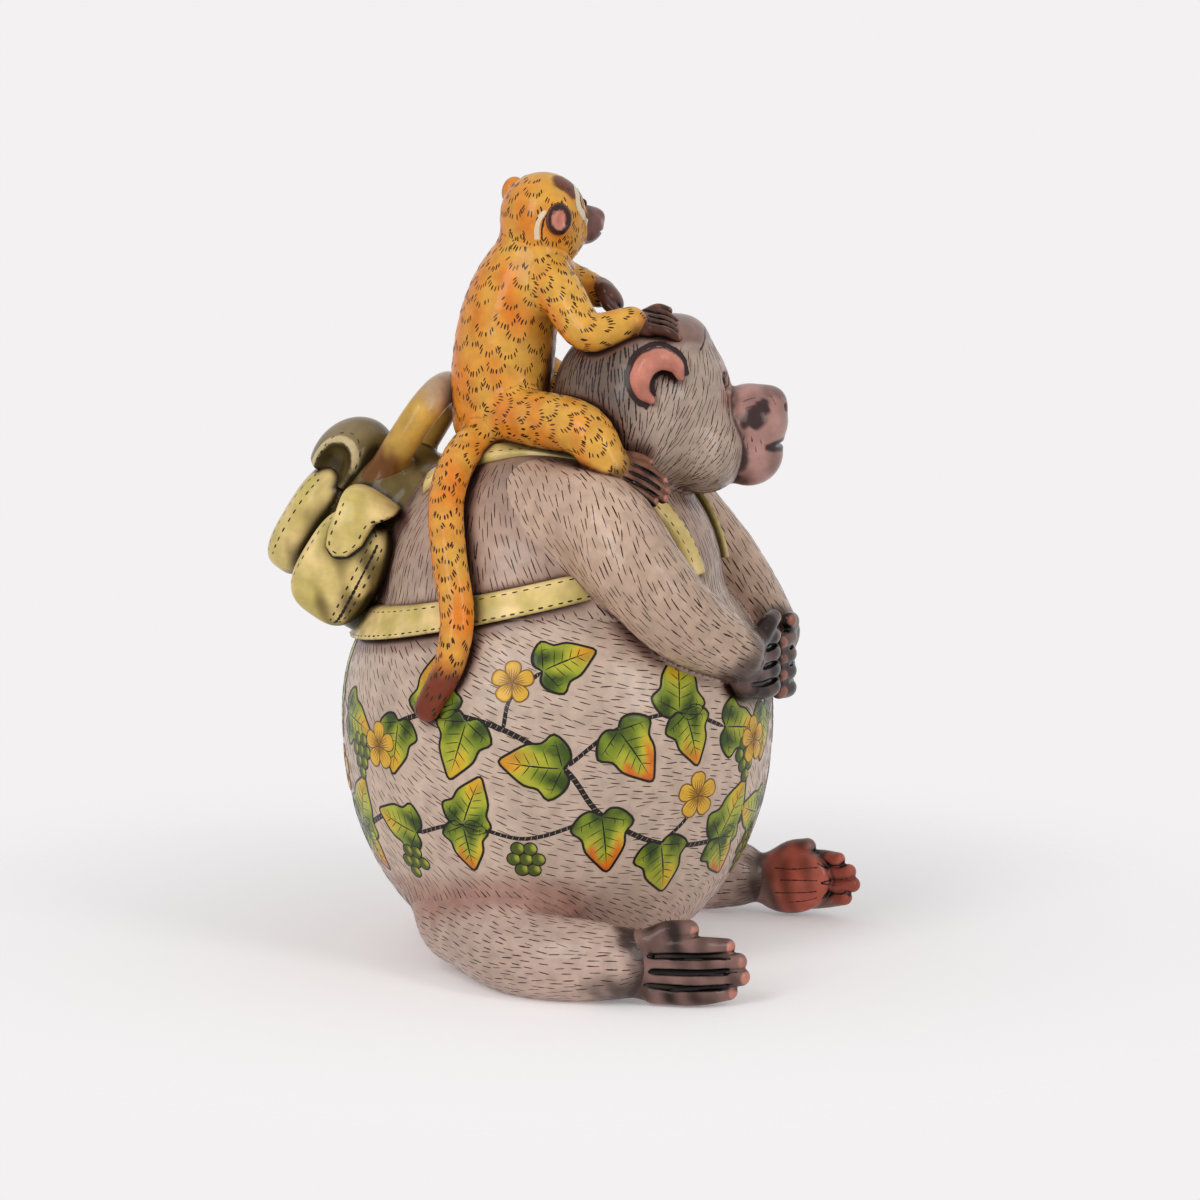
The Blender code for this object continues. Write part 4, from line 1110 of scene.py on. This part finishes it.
def scallops(name, flow, radius=3.2, spacing=6.8):
    """Spotted coat: bowed rows of short dashes, like scales."""
    field = CLAY[name][0]
    points, normals = open_ground(name, 0.2)
    ways = tangent(flow(points, normals), normals)
    chosen = scatter(points, ways, np.full(len(points), 0.86 * spacing), np.full(len(points), spacing))
    centres, looks, ways = points[chosen], normals[chosen], ways[chosen]
    sides = np.cross(looks, ways)
    count = 8
    for index in range(count):
        angle = math.radians(-80 + 160 * index / (count - 1)) + CHANCE.normal(0, 0.08, len(centres))
        spoke = ways * np.cos(angle)[:, None] + sides * np.sin(angle)[:, None]
        starts = centres + spoke * (radius * CHANCE.uniform(0.78, 1.0, len(centres)))[:, None]
        starts, normals = on_surface(field, starts, 2)
        seen = bare_ground(name, starts, 0.1) & (CHANCE.uniform(0, 1, len(starts)) < 0.94)
        lengths = CHANCE.uniform(2.1, 3.3, len(starts))
        widths = CHANCE.uniform(0.6, 0.9, len(starts))
        lean = spoke * 0.45 + ways * 0.8

        def outward(points, normals, lean=lean[seen]):
            return lean
        ink = "coat_ink_soft" if index % 4 == 1 else "coat_ink"
        brush(ink, field, starts[seen], outward, lengths[seen], widths[seen])


def dashes(ink, field, path, dash, gap, width, base=0.0, covered=None):
    """A row of stitches, or with no gap a line, along a path on a surface."""
    path = np.array(path, float)
    steps = np.concatenate(([0], np.cumsum(length(np.diff(path, axis=0)))))
    count = max(int(steps[-1] // (dash + gap)), 1)
    begins = (np.arange(count) + CHANCE.uniform(-0.06, 0.06, count)) * steps[-1] / count
    profile = np.array((0, 0.9, 1, 1, 0.85, 0))
    places = begins[:, None] + dash * np.linspace(0, 1, len(profile))
    points = np.stack([np.interp(places, steps, path[:, axis]) for axis in range(3)], axis=2)
    flat, normals = on_surface(field, points.reshape(-1, 3), 2)
    seen = np.ones(count, bool)
    if covered is not None:
        seen = (~covered(flat)).reshape(places.shape).all(axis=1)
    points, normals = flat.reshape(points.shape)[seen], normals.reshape(points.shape)[seen]
    widths = width * CHANCE.uniform(0.75, 1.2, (seen.sum(), 1)) * profile * 0.5
    ribbons(ink, points, normals, widths, base)


def stitches(ink, name, path, dash, gap, width):
    """A row of dashes on a piece, left out where another piece covers it."""
    dashes(ink, CLAY[name][0], path, dash, gap, width, covered=lambda points: ~bare_ground(name, points, 0.2))


def stacked(parts):
    """Several meshes as one; each gives its points, faces and a table by points."""
    starts = np.cumsum([0] + [len(part[0]) for part in parts])
    faces = [part[1] + start for part, start in zip(parts, starts)]
    return np.vstack([part[0] for part in parts]), np.vstack(faces), np.vstack([part[2] for part in parts])


def lay_marks():
    """Turns the gathered slivers into one object for each ink."""
    for ink, batches in MARKS.items():
        colour, slot = INKS[ink]
        points, faces, looks = stacked(batches)
        obj = mesh_object(f"{ink}_marks", points, faces, pigment(ink, colour), normals=looks)
        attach(obj, "root")


# Painted vine round the belly

LEAF = np.array(((0, 0), (-0.09, 0.15), (-0.03, 0.34), (0.19, 0.5), (0.36, 0.35), (0.58, 0.31), (0.83, 0.15),
                 (1, 0)))
PETAL = np.array(((0, 0), (0.2, 0.16), (0.5, 0.34), (0.8, 0.36), (0.97, 0.2), (1, 0)))
VIEW = math.radians(-75)                    # the side of the belly that faces the camera
VINE_TURNS = (0, 118, 236)                  # the vine comes round three times
# Stems as places of degrees round the belly and height
STEMS = (((70, 62), (52, 53), (30, 55), (12, 68), (2, 86), (-14, 100), (-34, 104), (-52, 95)),
         ((12, 68), (-8, 59), (-26, 63), (-42, 57)), ((2, 86), (16, 100), (34, 104), (50, 96)),
         ((-14, 100), (-12, 112), (-4, 121)), ((30, 55), (37, 63), (40, 70)))
# Leaves: degrees, height, heading in degrees from level, length and how far the tip has reddened
LEAVES = ((52, 53, 60, 25, 0.2), (52, 53, -60, 20, 0.8), (30, 55, -75, 23, 0.1), (12, 68, -82, 24, 0.9),
          (-26, 63, 66, 21, 0.3), (-26, 63, -84, 19, 0.7), (-42, 57, 165, 22, 0.2), (2, 86, 175, 25, 0.5),
          (16, 100, -55, 25, 0.9), (34, 104, 80, 24, 0.2), (36, 103.5, -75, 21, 0.6), (50, 96, -10, 23, 0.3),
          (-24, 102.5, -108, 24, 0.15), (-34, 104, 95, 24, 0.8), (-46, 99, -100, 21, 0.3),
          (-4, 121, 25, 22, 0.4))
FLOWERS = ((40.5, 72, 9.0), (-54, 88, 9.0), (-12, 117, 8.0))
BERRIES = ((-46, 49, 0.3), (60, 88, 0.0), (-9, 55, 0.6))
PATCHES = []


def belly_spots(degrees, heights):
    """Points on the belly, with their normals and the directions to the right and up there."""
    angles = VIEW + np.radians(np.atleast_1d(degrees).astype(float))
    heights = np.atleast_1d(heights).astype(float)
    half = np.where(heights > BELLY_WIDEST, BELLY_RISE, BELLY_DROP)
    share = 1 - (np.abs(heights - BELLY_WIDEST) / half) ** BELLY_POWER
    radius = BELLY_RADIUS * share ** (1 / BELLY_POWER)
    points = np.column_stack((radius * np.cos(angles), radius * np.sin(angles), heights))
    normals = unit(slope_of(belly_form, points))
    right = np.column_stack((-np.sin(angles), np.cos(angles), 0 * angles))
    return points, normals, right, np.cross(normals, right)


def mirrored(half):
    """Closed outline from its upper half."""
    return np.vstack((half, (half * (1, -1))[-2:0:-1]))


def smooth_loop(outline, steps):
    return np.array(curve(np.vstack((outline[-1:], outline, outline[:2])), steps))


class Patch:
    """A painted shape on the belly, with its own flat axes at its root."""

    def __init__(self, degrees, height, heading, size, outline, middle, lift=0.22):
        self.root, self.normal, right, up = (table[0] for table in belly_spots(degrees, height))
        angle = math.radians(heading)
        self.ahead = right * math.cos(angle) + up * math.sin(angle)
        self.beside = np.cross(self.normal, self.ahead)
        self.outline = smooth_loop(outline, 3) * size
        self.middle = np.array(middle) * size
        self.size = size
        self.lift = lift

    def lay(self, flat):
        """Points of the patch's plane, put down on the clay."""
        flat = np.atleast_2d(flat)
        spread = self.root + flat[:, :1] * self.ahead + flat[:, 1:] * self.beside
        return on_surface(belly_form, spread, 2)

    def plane(self, points):
        offset = points - self.root
        return np.column_stack((offset @ self.ahead, offset @ self.beside))

    def fill(self, colour_of):
        """Thin closed body, coloured at each point."""
        rings = (0.25, 0.5, 0.72, 0.9, 1.0, 1.0)
        spokes = self.outline - self.middle
        flat = np.vstack([self.middle] + [self.middle + spokes * ring for ring in rings])
        points, normals = self.lay(flat)
        count = len(self.outline)
        heights = np.full(len(flat), self.lift)
        heights[-2 * count:] = 0.03
        heights[-count:] = -0.1
        points = np.vstack((points + normals * heights[:, None], points[:1] - normals[:1] * 0.1))
        around = np.arange(count)
        after = (around + 1) % count
        faces = [np.column_stack((0 * around, 1 + after, 1 + around))]
        for ring in range(len(rings) - 1):
            inner, outer = 1 + ring * count, 1 + (ring + 1) * count
            faces.append(np.column_stack((inner + around, inner + after, outer + after)))
            faces.append(np.column_stack((inner + around, outer + after, outer + around)))
        rim = 1 + (len(rings) - 1) * count
        faces.append(np.column_stack((0 * around + len(points) - 1, rim + around, rim + after)))
        colours = colour_of(np.vstack((flat, flat[:1])) / self.size)
        return points, np.vstack(faces), colours

    def line(self, ink, flat, width, taper=True):
        """Brushed line along places in the patch's own size."""
        path = smooth_path(np.array(flat, float) * self.size, 4)
        points, normals = self.lay(path)
        along = np.linspace(0, 1, len(path))
        thick = np.minimum(1, 6 * along) * np.minimum(1, (1 - along) * (2 if taper else 6)) * width / 2
        ribbons(ink, points[None], normals[None], thick[None], self.lift)

    def edge(self, ink, width):
        loop = np.vstack((self.outline, self.outline[:2]))
        points, normals = self.lay(loop)
        thick = np.full(len(loop), width / 2)
        thick[[0, -1]] = 0
        ribbons(ink, points[None], normals[None], thick[None], self.lift - 0.04)


GREEN_DARK, GREEN, GREEN_YELLOW = tint(58, 76, 26), tint(120, 138, 40), tint(178, 178, 56)
YELLOW, RED, OCHRE, OCHRE_DARK = tint(226, 190, 46), tint(218, 88, 34), tint(222, 172, 58), tint(164, 112, 32)
BERRY, BERRY_LIGHT = tint(76, 88, 30), tint(168, 172, 62)


def leaf_colour(ripe):
    def colour_of(flat):
        ripple = 0.16 * np.sin(13 * flat[:, 1] + 5 * ripe)
        along = flat[:, 0] + ripple + 0.1 * np.sin(9 * flat[:, 0] + 17 * flat[:, 1])
        return layered(GREEN_DARK, (GREEN, step_up(along, -0.05, 0.25)),
                       (GREEN_YELLOW, step_up(along, 0.2, 0.55)),
                       (YELLOW, 0.8 * step_up(along, 0.45, 0.75) * (flat[:, 1] > -0.02)),
                       (RED, ripe * step_up(along, 0.55, 0.85)))
    return colour_of


def petal_colour(flat):
    return mixed(OCHRE_DARK, OCHRE, step_up(flat[:, 0], 0.05, 0.5))


def berry_colour(flat):
    return mixed(BERRY_LIGHT, BERRY, step_up(length(flat - (0.4, 0.15)), 0.12, 0.5))


def room_for(patch):
    """Whether a shape stays off the legs' fillets and is not mostly under an arm or hand."""
    points = patch.lay(patch.outline)[0]
    low = points[:, 2] < BELLY_WIDEST
    buried = CLAY["belly"][0](points) < -0.15
    covers = ("arm_right", "arm_left", "hand_right", "hand_left")
    arms = np.min([FORMS[name](points) for name in covers], axis=0)
    return not (low & buried).any() and (arms < 1.0).mean() < 0.4


def add_patch(*shape):
    """A patch, or None where there is no room for it."""
    patch = Patch(*shape)
    if not room_for(patch):
        return None
    PATCHES.append(patch)
    return patch


def paint_leaf(degrees, height, heading, size, ripe):
    leaf = add_patch(degrees, height, heading, size, mirrored(LEAF), (0.34, 0.0))
    if not leaf:
        return []
    leaf.edge("vine_ink", 0.9)
    leaf.line("vine_ink", ((0, 0), (0.45, 0.01), (0.95, 0)), 0.8)
    for side in (1, -1):
        leaf.line("vine_ink", ((0.02, 0), (0.1, 0.22 * side), (0.18, 0.45 * side)), 0.6)
        for start in (0.22, 0.36, 0.5, 0.64):
            tip = np.array((start + 0.13, side * (0.36 - 0.34 * start)))
            leaf.line("vine_ink", ((start, 0), (start + 0.07, 0.55 * tip[1]), tip), 0.42)
        for share in (0.4, 0.7):
            rib = np.array((0.18 * share, 0.45 * side * share))
            leaf.line("vine_ink", (rib, rib + (0.06, 0.02 * side), rib + (0.13, 0.0)), 0.36)
    return [leaf.fill(leaf_colour(ripe))]


def paint_flower(degrees, height, size):
    made = []
    for number in range(5):
        petal = add_patch(degrees, height, 20 + 72 * number, size, mirrored(PETAL), (0.6, 0.0), 0.3)
        if petal:
            petal.edge("vine_ink_soft", 0.45)
            for slope in (-0.22, -0.08, 0.08, 0.22):
                petal.line("vine_ink_soft", ((0.12, 0.3 * slope), (0.4, 0.7 * slope), (0.7, slope)), 0.4)
            made.append(petal.fill(petal_colour))
    return made


CIRCLE = np.array([(math.cos(math.radians(a)), math.sin(math.radians(a))) for a in range(360, 0, -45)]) * 0.5
BERRY_SIZE, BERRY_GAP, BERRY_ROW = 5.2, 4.9, 4.2


def paint_berries(degrees, height, lean):
    made = []
    for row, number in enumerate((2, 3, 2, 1)):
        for place in range(number):
            across = (place - (number - 1) / 2) * BERRY_GAP + lean * row
            spot = degrees + math.degrees(across / BELLY_RADIUS)
            berry = add_patch(spot, height - BERRY_ROW * row, 0, BERRY_SIZE, CIRCLE, (0, 0), 0.26)
            if berry:
                berry.edge("vine_ink", 0.5)
                made.append(berry.fill(berry_colour))
    return made


STEM_PATHS = []


def paint_stem(places, turn, width):
    """Dark stem with pale nicks across it."""
    path = smooth_path([(degrees + turn, height) for degrees, height in places], 8)
    points, normals = belly_spots(path[:, 0], path[:, 1])[:2]
    STEM_PATHS.append(points)
    thick = np.full(len(points), width / 2)
    thick[[0, -1]] = 0
    ribbons("vine_ink", points[None], normals[None], thick[None], 0.04)
    run = np.gradient(points, axis=0)
    across = unit(np.cross(normals, run)) * width * 0.42
    steps = np.concatenate(([0], np.cumsum(length(np.diff(points, axis=0)))))
    for place in np.arange(2.0, steps[-1] - 1, 2.3):
        spot, look, side, way = [np.array([np.interp(place, steps, table[:, axis]) for axis in range(3)])
                                 for table in (points, normals, across, run)]
        slant = 0.25 * way / np.linalg.norm(way)
        nick = np.array((spot - side - slant, spot, spot + side + slant))
        ribbons("vine_nick", nick[None], np.tile(look, (1, 3, 1)), np.array(((0, 0.16, 0),)), 0.1, 0.05)


def paint_vine():
    """Leaves, flowers and berries on three turns of stem, all in one object."""
    made = []
    for turn in VINE_TURNS:
        for number, places in enumerate(STEMS):
            paint_stem(places, turn, 2.1 if number == 0 else 1.6)
        for degrees, height, heading, size, ripe in LEAVES:
            made += paint_leaf(degrees + turn, height, heading, size, ripe)
        for degrees, height, size in FLOWERS:
            made += paint_flower(degrees + turn, height, size)
        for degrees, height, lean in BERRIES:
            made += paint_berries(degrees + turn, height, lean)
    points, faces, colours = stacked(made)
    vine = mesh_object("belly_vine", points, faces, GLAZES["fur"], colours=colours)
    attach(vine, "root")


def clear_of_vine(points):
    """Where the belly's strokes do not run into the vine."""
    clear = np.ones(len(points), bool)
    looks = unit(points - (0, 0, BELLY_WIDEST))
    starts = [points, points + 3.5 * tangent(belly_flow(points, looks), looks)]
    for patch in PATCHES:
        reach = 1.3 * patch.size
        for spots in starts:
            near = np.flatnonzero(length(spots - patch.root) < reach)
            clear[near[outline_gap(patch.plane(spots[near]), patch.outline) < 0.7]] = False
    for path in STEM_PATHS:
        for spots in starts:
            for station in path:
                clear &= length(spots - station) > 1.5
    return clear


# Stitches and lines on the canvas

def strap_row(name, skin, axes, guess, offset, dash, gap, width):
    """A row of stitches along a strap, at an offset from its middle."""
    def outer(points):
        return skin(points) - STRAP_THICKNESS
    spots = np.array(guess, float)
    for _ in range(5):
        spots = on_surface(outer, spots, 1)[0]
        spots -= axes[:3, 2] * (local(spots, axes)[:, 2] - offset)[:, None]
    stitches("canvas_ink", name, spots, dash, gap, width)


def sew_straps():
    for side, word in SIDES.items():
        turns = np.radians(np.linspace(172, 44, 60)) * side
        ring = np.column_stack((78 * np.cos(turns), 78 * np.sin(turns), 144 + 18 * np.cos(turns)))
        lower = (f"lower_strap_{word}", BODY, LOWER_STRAP, ring)
        strap_row(*lower, 3.9, 2.6, 1.6, 0.5)
        strap_row(*lower, -3.7, 2.3, 1.3, 0.75)
        rise = np.radians(np.linspace(150, 12, 60))
        arch = np.column_stack((-2 + 68 * np.cos(rise), np.full(60, 25.0 * side), 142 + 62 * np.sin(rise)))
        for offset in (2.7, -2.7):
            strap_row(f"shoulder_strap_{word}", TORSO, SHOULDER_STRAP[side], arch, offset, 2.2, 1.6, 0.5)


def out_of(axes, places):
    """Places in a frame's own axes, as points of the figure."""
    return np.array(places, float)[:, :3] @ axes[:3, :3].T + axes[:3, 3]


HEM = ((-4.6, 20.5), (-9.4, 14.6), (-9.0, 6), (-11, 0.6), (-14.2, -1.6), (-17.4, -0.3), (-19.2, 4),
       (-20.6, 11), (-23.4, 18.6))
# The line and rows down the front of a side pocket: shift, ink, dash, gap and width
POCKET_ROWS = ((0, "canvas_line", 3.0, -0.8, 1.2), (-3.0, "canvas_ink", 2.4, 1.5, 0.85),
               (2.8, "canvas_ink", 2.4, 1.5, 0.85))


def sew_pack():
    down = np.linspace(1, 0, 24)
    turns = np.radians(np.linspace(-50, 200, 40))
    for side, word in SIDES.items():
        pocket, flap = f"side_pocket_{word}", f"side_flap_{word}"
        for x, y in ((-42.8, 18), (-39.2, 21.5)):
            row = out_of(PACK, [(x, side * y, 42 * t - 28) for t in down])
            stitches("canvas_ink", "rear_pocket", row, 2.4, 1.8, 0.75)
        row = out_of(PACK, [(-24.4, side * 37.5, 34 * t - 26) for t in down])
        stitches("canvas_ink", pocket, row, 2.2, 1.5, 0.7)
        for shift, ink, dash, gap, width in POCKET_ROWS:
            row = out_of(PACK, [(0.8 - 3.0 * t + shift, side * 40.5, 40 * t - 30) for t in down])
            stitches(ink, pocket, row, dash, gap, width)
        row = out_of(PACK, [(x, side * 43.0, z) for x, z in smooth_path(HEM, 4)])
        dashes("canvas_ink", CLAY[flap][0], row, 2.3, 1.7, 0.85)
        row = out_of(PACK, [(x + 0.2, side * 41.0, z - 0.5) for x, z in smooth_path(FLAP_OUTLINE[2:], 4)])
        dashes("canvas_line", CLAY[pocket][0], row, 2.4, -0.8, 1.0)
        rim = np.column_stack((-37.5 + 9.2 * np.cos(turns), side * (19 - 7 * np.abs(np.sin(turns))),
                               17 + 13.4 * np.sin(turns)))
        stitches("canvas_ink", "rear_pocket_lid", out_of(PACK, rim), 2.2, 1.8, 0.7)


# Lines on faces, ears, hands and feet

def drop(field, points, way):
    """Moves points along one direction to the surface."""
    for _ in range(6):
        gap = field(points)
        slope = (field(points + 0.1 * way) - gap) / 0.1
        points = points - way * (gap / np.maximum(slope, 0.2))[:, None]
    return points


def seam(name, other, axes, centre):
    """Loop where one piece meets another, gone round a place."""
    points = CLAY[name][1]
    points = points[np.abs(FORMS[other](points)) < 0.8]
    spot = local(points, axes) - centre
    order = np.argsort(np.arctan2(spot[:, 2], spot[:, 1]))
    return np.array([part.mean(axis=0) for part in np.array_split(points[order], 48)])


BROW_LINE = ((13.5, -15, 23.5), (15.6, -11, 27), (16.8, -6, 30), (17, 0, 31), (16.8, 6, 30), (15.6, 11, 27),
             (13.5, 15, 23.5))
# Strokes on the left of the muzzle, mirrored on the right: places and width
MUZZLE_STROKES = (
    (((42.1, 5.5, 7), (44.5, 6, 4.5), (46.2, 5.5, 1.4)), 0.45),
    (((40.2, 6.4, 6.8), (42, 8, 5), (43.1, 9.2, 3)), 0.45),
    (((44.4, 3.9, 7.1), (46, 3.7, 5.4), (47, 3.3, 3.3)), 0.4),
    (((29, 14, 6), (33, 13, 7.4), (37, 11, 7.2)), 0.4),
    (((30, 15.6, 3.5), (34, 15.4, 4.6), (37, 14, 4.4)), 0.4),
    (((34, 15.6, -7), (34.4, 15.4, -8.5), (34.6, 15, -10)), 0.5),
    (((31.4, 15.8, -6), (31.6, 15.6, -7.6), (31.6, 15.2, -9.4)), 0.5),
    (((32.6, 15.4, -10), (33, 15, -11.6), (33, 14.6, -13)), 0.5),
    (((35.6, 14.6, -11), (36, 14.2, -12.6), (36, 13.8, -14)), 0.45),
    (((37, 14, -8), (37.6, 13.6, -9.4), (37.8, 13.2, -10.6)), 0.5))
# Marks on the left of the young monkey's head, mirrored on the right: ink, places, width and height
YOUNG_MARKS = (
    ("cream", ((10.6, 5.2, 11), (10.1, 7.1, 10.2), (8.2, 11.5, 7), (8.2, 13, 3), (11.5, 10.2, -0.6),
               (14, 8, -3)),
     3.0, 0.05),
    ("coat_ink", ((12, 5, 10), (11.3, 7.6, 9), (9.8, 11.6, 5), (11.8, 10, 1.4), (14.5, 8, -1.2)), 0.8, 0.1),
    ("cream", ((-6, 14.6, 3.6), (-8.2, 13.6, 1), (-9.2, 12.7, -3), (-8.4, 11.4, -7.4)), 1.9, 0.05),
    ("coat_ink", ((-4.6, 15.2, 3.9), (-6.8, 14.5, 0.8), (-7.6, 13.7, -3), (-6.9, 12.2, -7.4)), 0.6, 0.08),
    ("coat_ink", ((2.5, 14.4, -6), (3.4, 13.6, -7.6)), 0.5, 0.0),
    ("coat_ink", ((4.5, 13.6, -6.4), (5.2, 12.8, -8)), 0.5, 0.0),
    ("coat_ink", ((6.2, 12.8, -7), (6.6, 11.6, -8.8)), 0.5, 0.0))


def line_faces():
    head, young = CLAY["head"][0], CLAY["young_head"][0]
    dashes("face_ink", head, seam("head", "muzzle", HEAD, (30, 0, -6)), 3.0, -1.0, 0.8)
    dashes("coat_ink", young, seam("young_head", "young_muzzle", YOUNG_HEAD, (12, 0, -4)), 2.0, -0.6, 0.6)
    dashes("face_ink", head, smooth_path(out_of(HEAD, BROW_LINE), 5), 3.4, -1.5, 1.2)
    for side in SIDES:
        for offset in (1.0, -1.0):
            stations = np.array(ear_stations(side, offset)) - (0, 0, 0.9, 0)
            edge = smooth_path(out_of(HEAD, stations if side == RIGHT else stations[3:]), 5)
            edge = drop(FORMS["head"], edge, side * HEAD[:3, 1])
            dashes("face_ink", FORMS["head"], edge, 3.2, -1.6, 2.2, 0.3)
        for places, width in MUZZLE_STROKES:
            path = smooth_path(out_of(HEAD, np.array(places) * (1, side, 1)), 3)
            dashes("face_ink", CLAY["muzzle"][0], path, 9.0, 0.0, width)
        for ink, places, width, base in YOUNG_MARKS:
            path = smooth_path(out_of(YOUNG_HEAD, np.array(places, float) * (1, side, 1)), 5)
            dashes(ink, young, path, 2.4 * width + 1.2, -1.6 * width, width, base)


SOLE_LINES = (((-11, 6), (-2, 5), (8, 5.6)), ((-9, 1), (-1, 0.4), (7, -0.6)),
              ((-12, -4), (-3, -4.6), (6, -5.4)), ((-7, -8.6), (0, -9), (6, -9)))


def line_digits():
    """Dark lines between fingers and toes, and the creases of the bare sole."""
    for word in SIDES.values():
        for stem in ("foot", "young_hand", "young_foot"):
            name = f"{stem}_{word}"
            digits, axes, size = paw_of(name)
            for first, second in zip(digits[1:], digits[2:]):
                between = (np.array(first)[:, :3] + np.array(second)[:, :3]) / 2
                lines = [between + (0, -5.0, 0)]
                if name == "foot_left":
                    lines.append(between[1:] + (0, 5.0, 0))
                for stations in lines:
                    path = smooth_path(out_of(axes, stations * size), 5)
                    stitches("skin_ink", name, path, 3.0 * size, -1.2 * size, 0.9 * size)
    for places in SOLE_LINES:
        path = smooth_path(out_of(FOOT[LEFT], [(x, 7.0, z) for x, z in places]), 5)
        stitches("sole_ink", "foot_left", path, 3.2, -1.0, 0.7)


# Painting

INKS = {"fur_ink_soft": (tint(112, 78, 66), "fur"), "fur_ink": (tint(74, 45, 37), "fur"),
        "fur_ink_dark": (tint(40, 24, 20), "fur"), "coat_ink": (tint(58, 34, 20), "coat"),
        "coat_ink_soft": (tint(104, 60, 26), "coat"), "vine_ink": (tint(34, 26, 21), "fur"),
        "vine_ink_soft": (tint(120, 80, 30), "fur"), "vine_nick": (tint(198, 182, 170), "fur"),
        "canvas_ink": (tint(54, 42, 24), "canvas"), "canvas_line": (tint(36, 28, 18), "canvas"),
        "face_ink": (tint(52, 34, 34), "face"), "skin_ink": (tint(22, 14, 12), "skin"),
        "sole_ink": (tint(84, 36, 27), "skin"), "cream": (tint(232, 214, 184), "coat")}

paint_vine()
for piece in FLOWS:
    paint_fur(piece)
for piece, way in (("young_torso", path_way(YOUNG_TORSO[::-1])), ("young_tail", path_way(YOUNG_TAIL)),
                   ("young_head", path_way(((0, 0, 300), (-2, 0, 280), (-3, 0, 260))))):
    scallops(piece, way)
for side, word in SIDES.items():
    scallops(f"young_arm_{word}", path_way(YOUNG_ARM[side]))
    scallops(f"young_leg_{word}", path_way(YOUNG_LEG[side]))
sew_straps()
sew_pack()
line_faces()
line_digits()
lay_marks()


# Stage

BACKDROP = (*tint(243, 241, 242), 1.0)
CAMERA_DISTANCE, CAMERA_ELEVATION, CAMERA_AZIMUTH = 2.4, math.radians(10), math.radians(15)
CAMERA_TARGET = Vector((0.0165, 0.0, 0.135))
FRAME_WIDTH = 0.45                          # metres across the picture at the target
SENSOR_WIDTH = 36.0
LIGHT_TARGET = Vector((0, 0, 0.13))
FLOOR_HALF = 1.0


def put_in_scene(name, data, place=(0, 0, 0), facing=None):
    """Object at a place, with its own Z axis along the facing."""
    obj = bpy.data.objects.new(name, data)
    obj.location = place
    if facing:
        obj.rotation_euler = facing.to_track_quat("Z", "Y").to_euler()
    bpy.context.scene.collection.objects.link(obj)
    return obj


def add_camera():
    data = bpy.data.cameras.new("photo_view")
    data.sensor_width = SENSOR_WIDTH
    data.lens = SENSOR_WIDTH * CAMERA_DISTANCE / FRAME_WIDTH
    away = Vector((math.sin(CAMERA_AZIMUTH) * math.cos(CAMERA_ELEVATION),
                   -math.cos(CAMERA_AZIMUTH) * math.cos(CAMERA_ELEVATION), math.sin(CAMERA_ELEVATION)))
    camera = put_in_scene("photo_view", data, CAMERA_TARGET + away * CAMERA_DISTANCE, away)
    bpy.context.scene.camera = camera


def add_softbox(name, place, width, height, power):
    data = bpy.data.lights.new(name, "AREA")
    data.shape = "RECTANGLE"
    data.size = width
    data.size_y = height
    data.energy = power
    put_in_scene(name, data, place, Vector(place) - LIGHT_TARGET)


def add_floor():
    """Pale floor that fades into the backdrop."""
    material, tree, shader = new_material("floor", {
        "Base Color": BACKDROP, "Roughness": 0.9, "Specular IOR Level": 0.1, "Emission Color": BACKDROP,
        "Emission Strength": 0.2})
    place = add_node(tree, "TexCoord")
    far = add_node(tree, "VectorMath", feeds={0: place.outputs["Object"]}, operation="LENGTH")
    fade = add_node(tree, "MapRange", {"From Min": 0.1, "From Max": 0.36, "To Min": 1.0, "To Max": 0.0},
                    {"Value": far.outputs["Value"]}, interpolation_type="SMOOTHSTEP")
    tree.links.new(fade.outputs["Result"], shader.inputs["Alpha"])
    mesh = bpy.data.meshes.new("floor")
    corners = [(x * FLOOR_HALF, y * FLOOR_HALF, 0) for x, y in ((-1, -1), (1, -1), (1, 1), (-1, 1))]
    mesh.from_pydata(corners, [], [(0, 1, 2, 3)])
    mesh.materials.append(material)
    floor = put_in_scene("floor", mesh)
    floor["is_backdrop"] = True


def add_world():
    """Soft studio light from all round; the camera and the gloss see the pale backdrop."""
    world = bpy.data.worlds.new("studio")
    bpy.context.scene.world = world
    world.use_nodes = True
    tree = world.node_tree
    ambient = tree.nodes["Background"]
    set_inputs(ambient, {"Color": (1.0, 1.0, 1.0, 1.0), "Strength": 0.5})
    seen = add_node(tree, "Background", {"Color": BACKDROP})
    path = add_node(tree, "LightPath")
    share = path.outputs["Is Camera Ray"]
    for ray in ("Is Glossy Ray", "Is Transmission Ray"):
        larger = add_node(tree, "Math", feeds={0: share, 1: path.outputs[ray]}, operation="MAXIMUM")
        share = larger.outputs["Value"]
    either = add_node(tree, "MixShader", feeds={"Fac": share, 1: ambient.outputs["Background"],
                                                2: seen.outputs["Background"]})
    tree.links.new(either.outputs["Shader"], tree.nodes["World Output"].inputs["Surface"])


add_camera()
add_floor()
add_world()
add_softbox("key", (-0.54, -1.65, 1.15), 0.65, 1.5, 15)
add_softbox("fill", (1.5, -0.87, 0.95), 0.5, 1.1, 8)
bpy.context.scene.view_settings.view_transform = "Standard"

boxes = {"cad": CAD_BOX, "visual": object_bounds()}
{key: [list(corner) for corner in corners] for key, corners in boxes.items()}
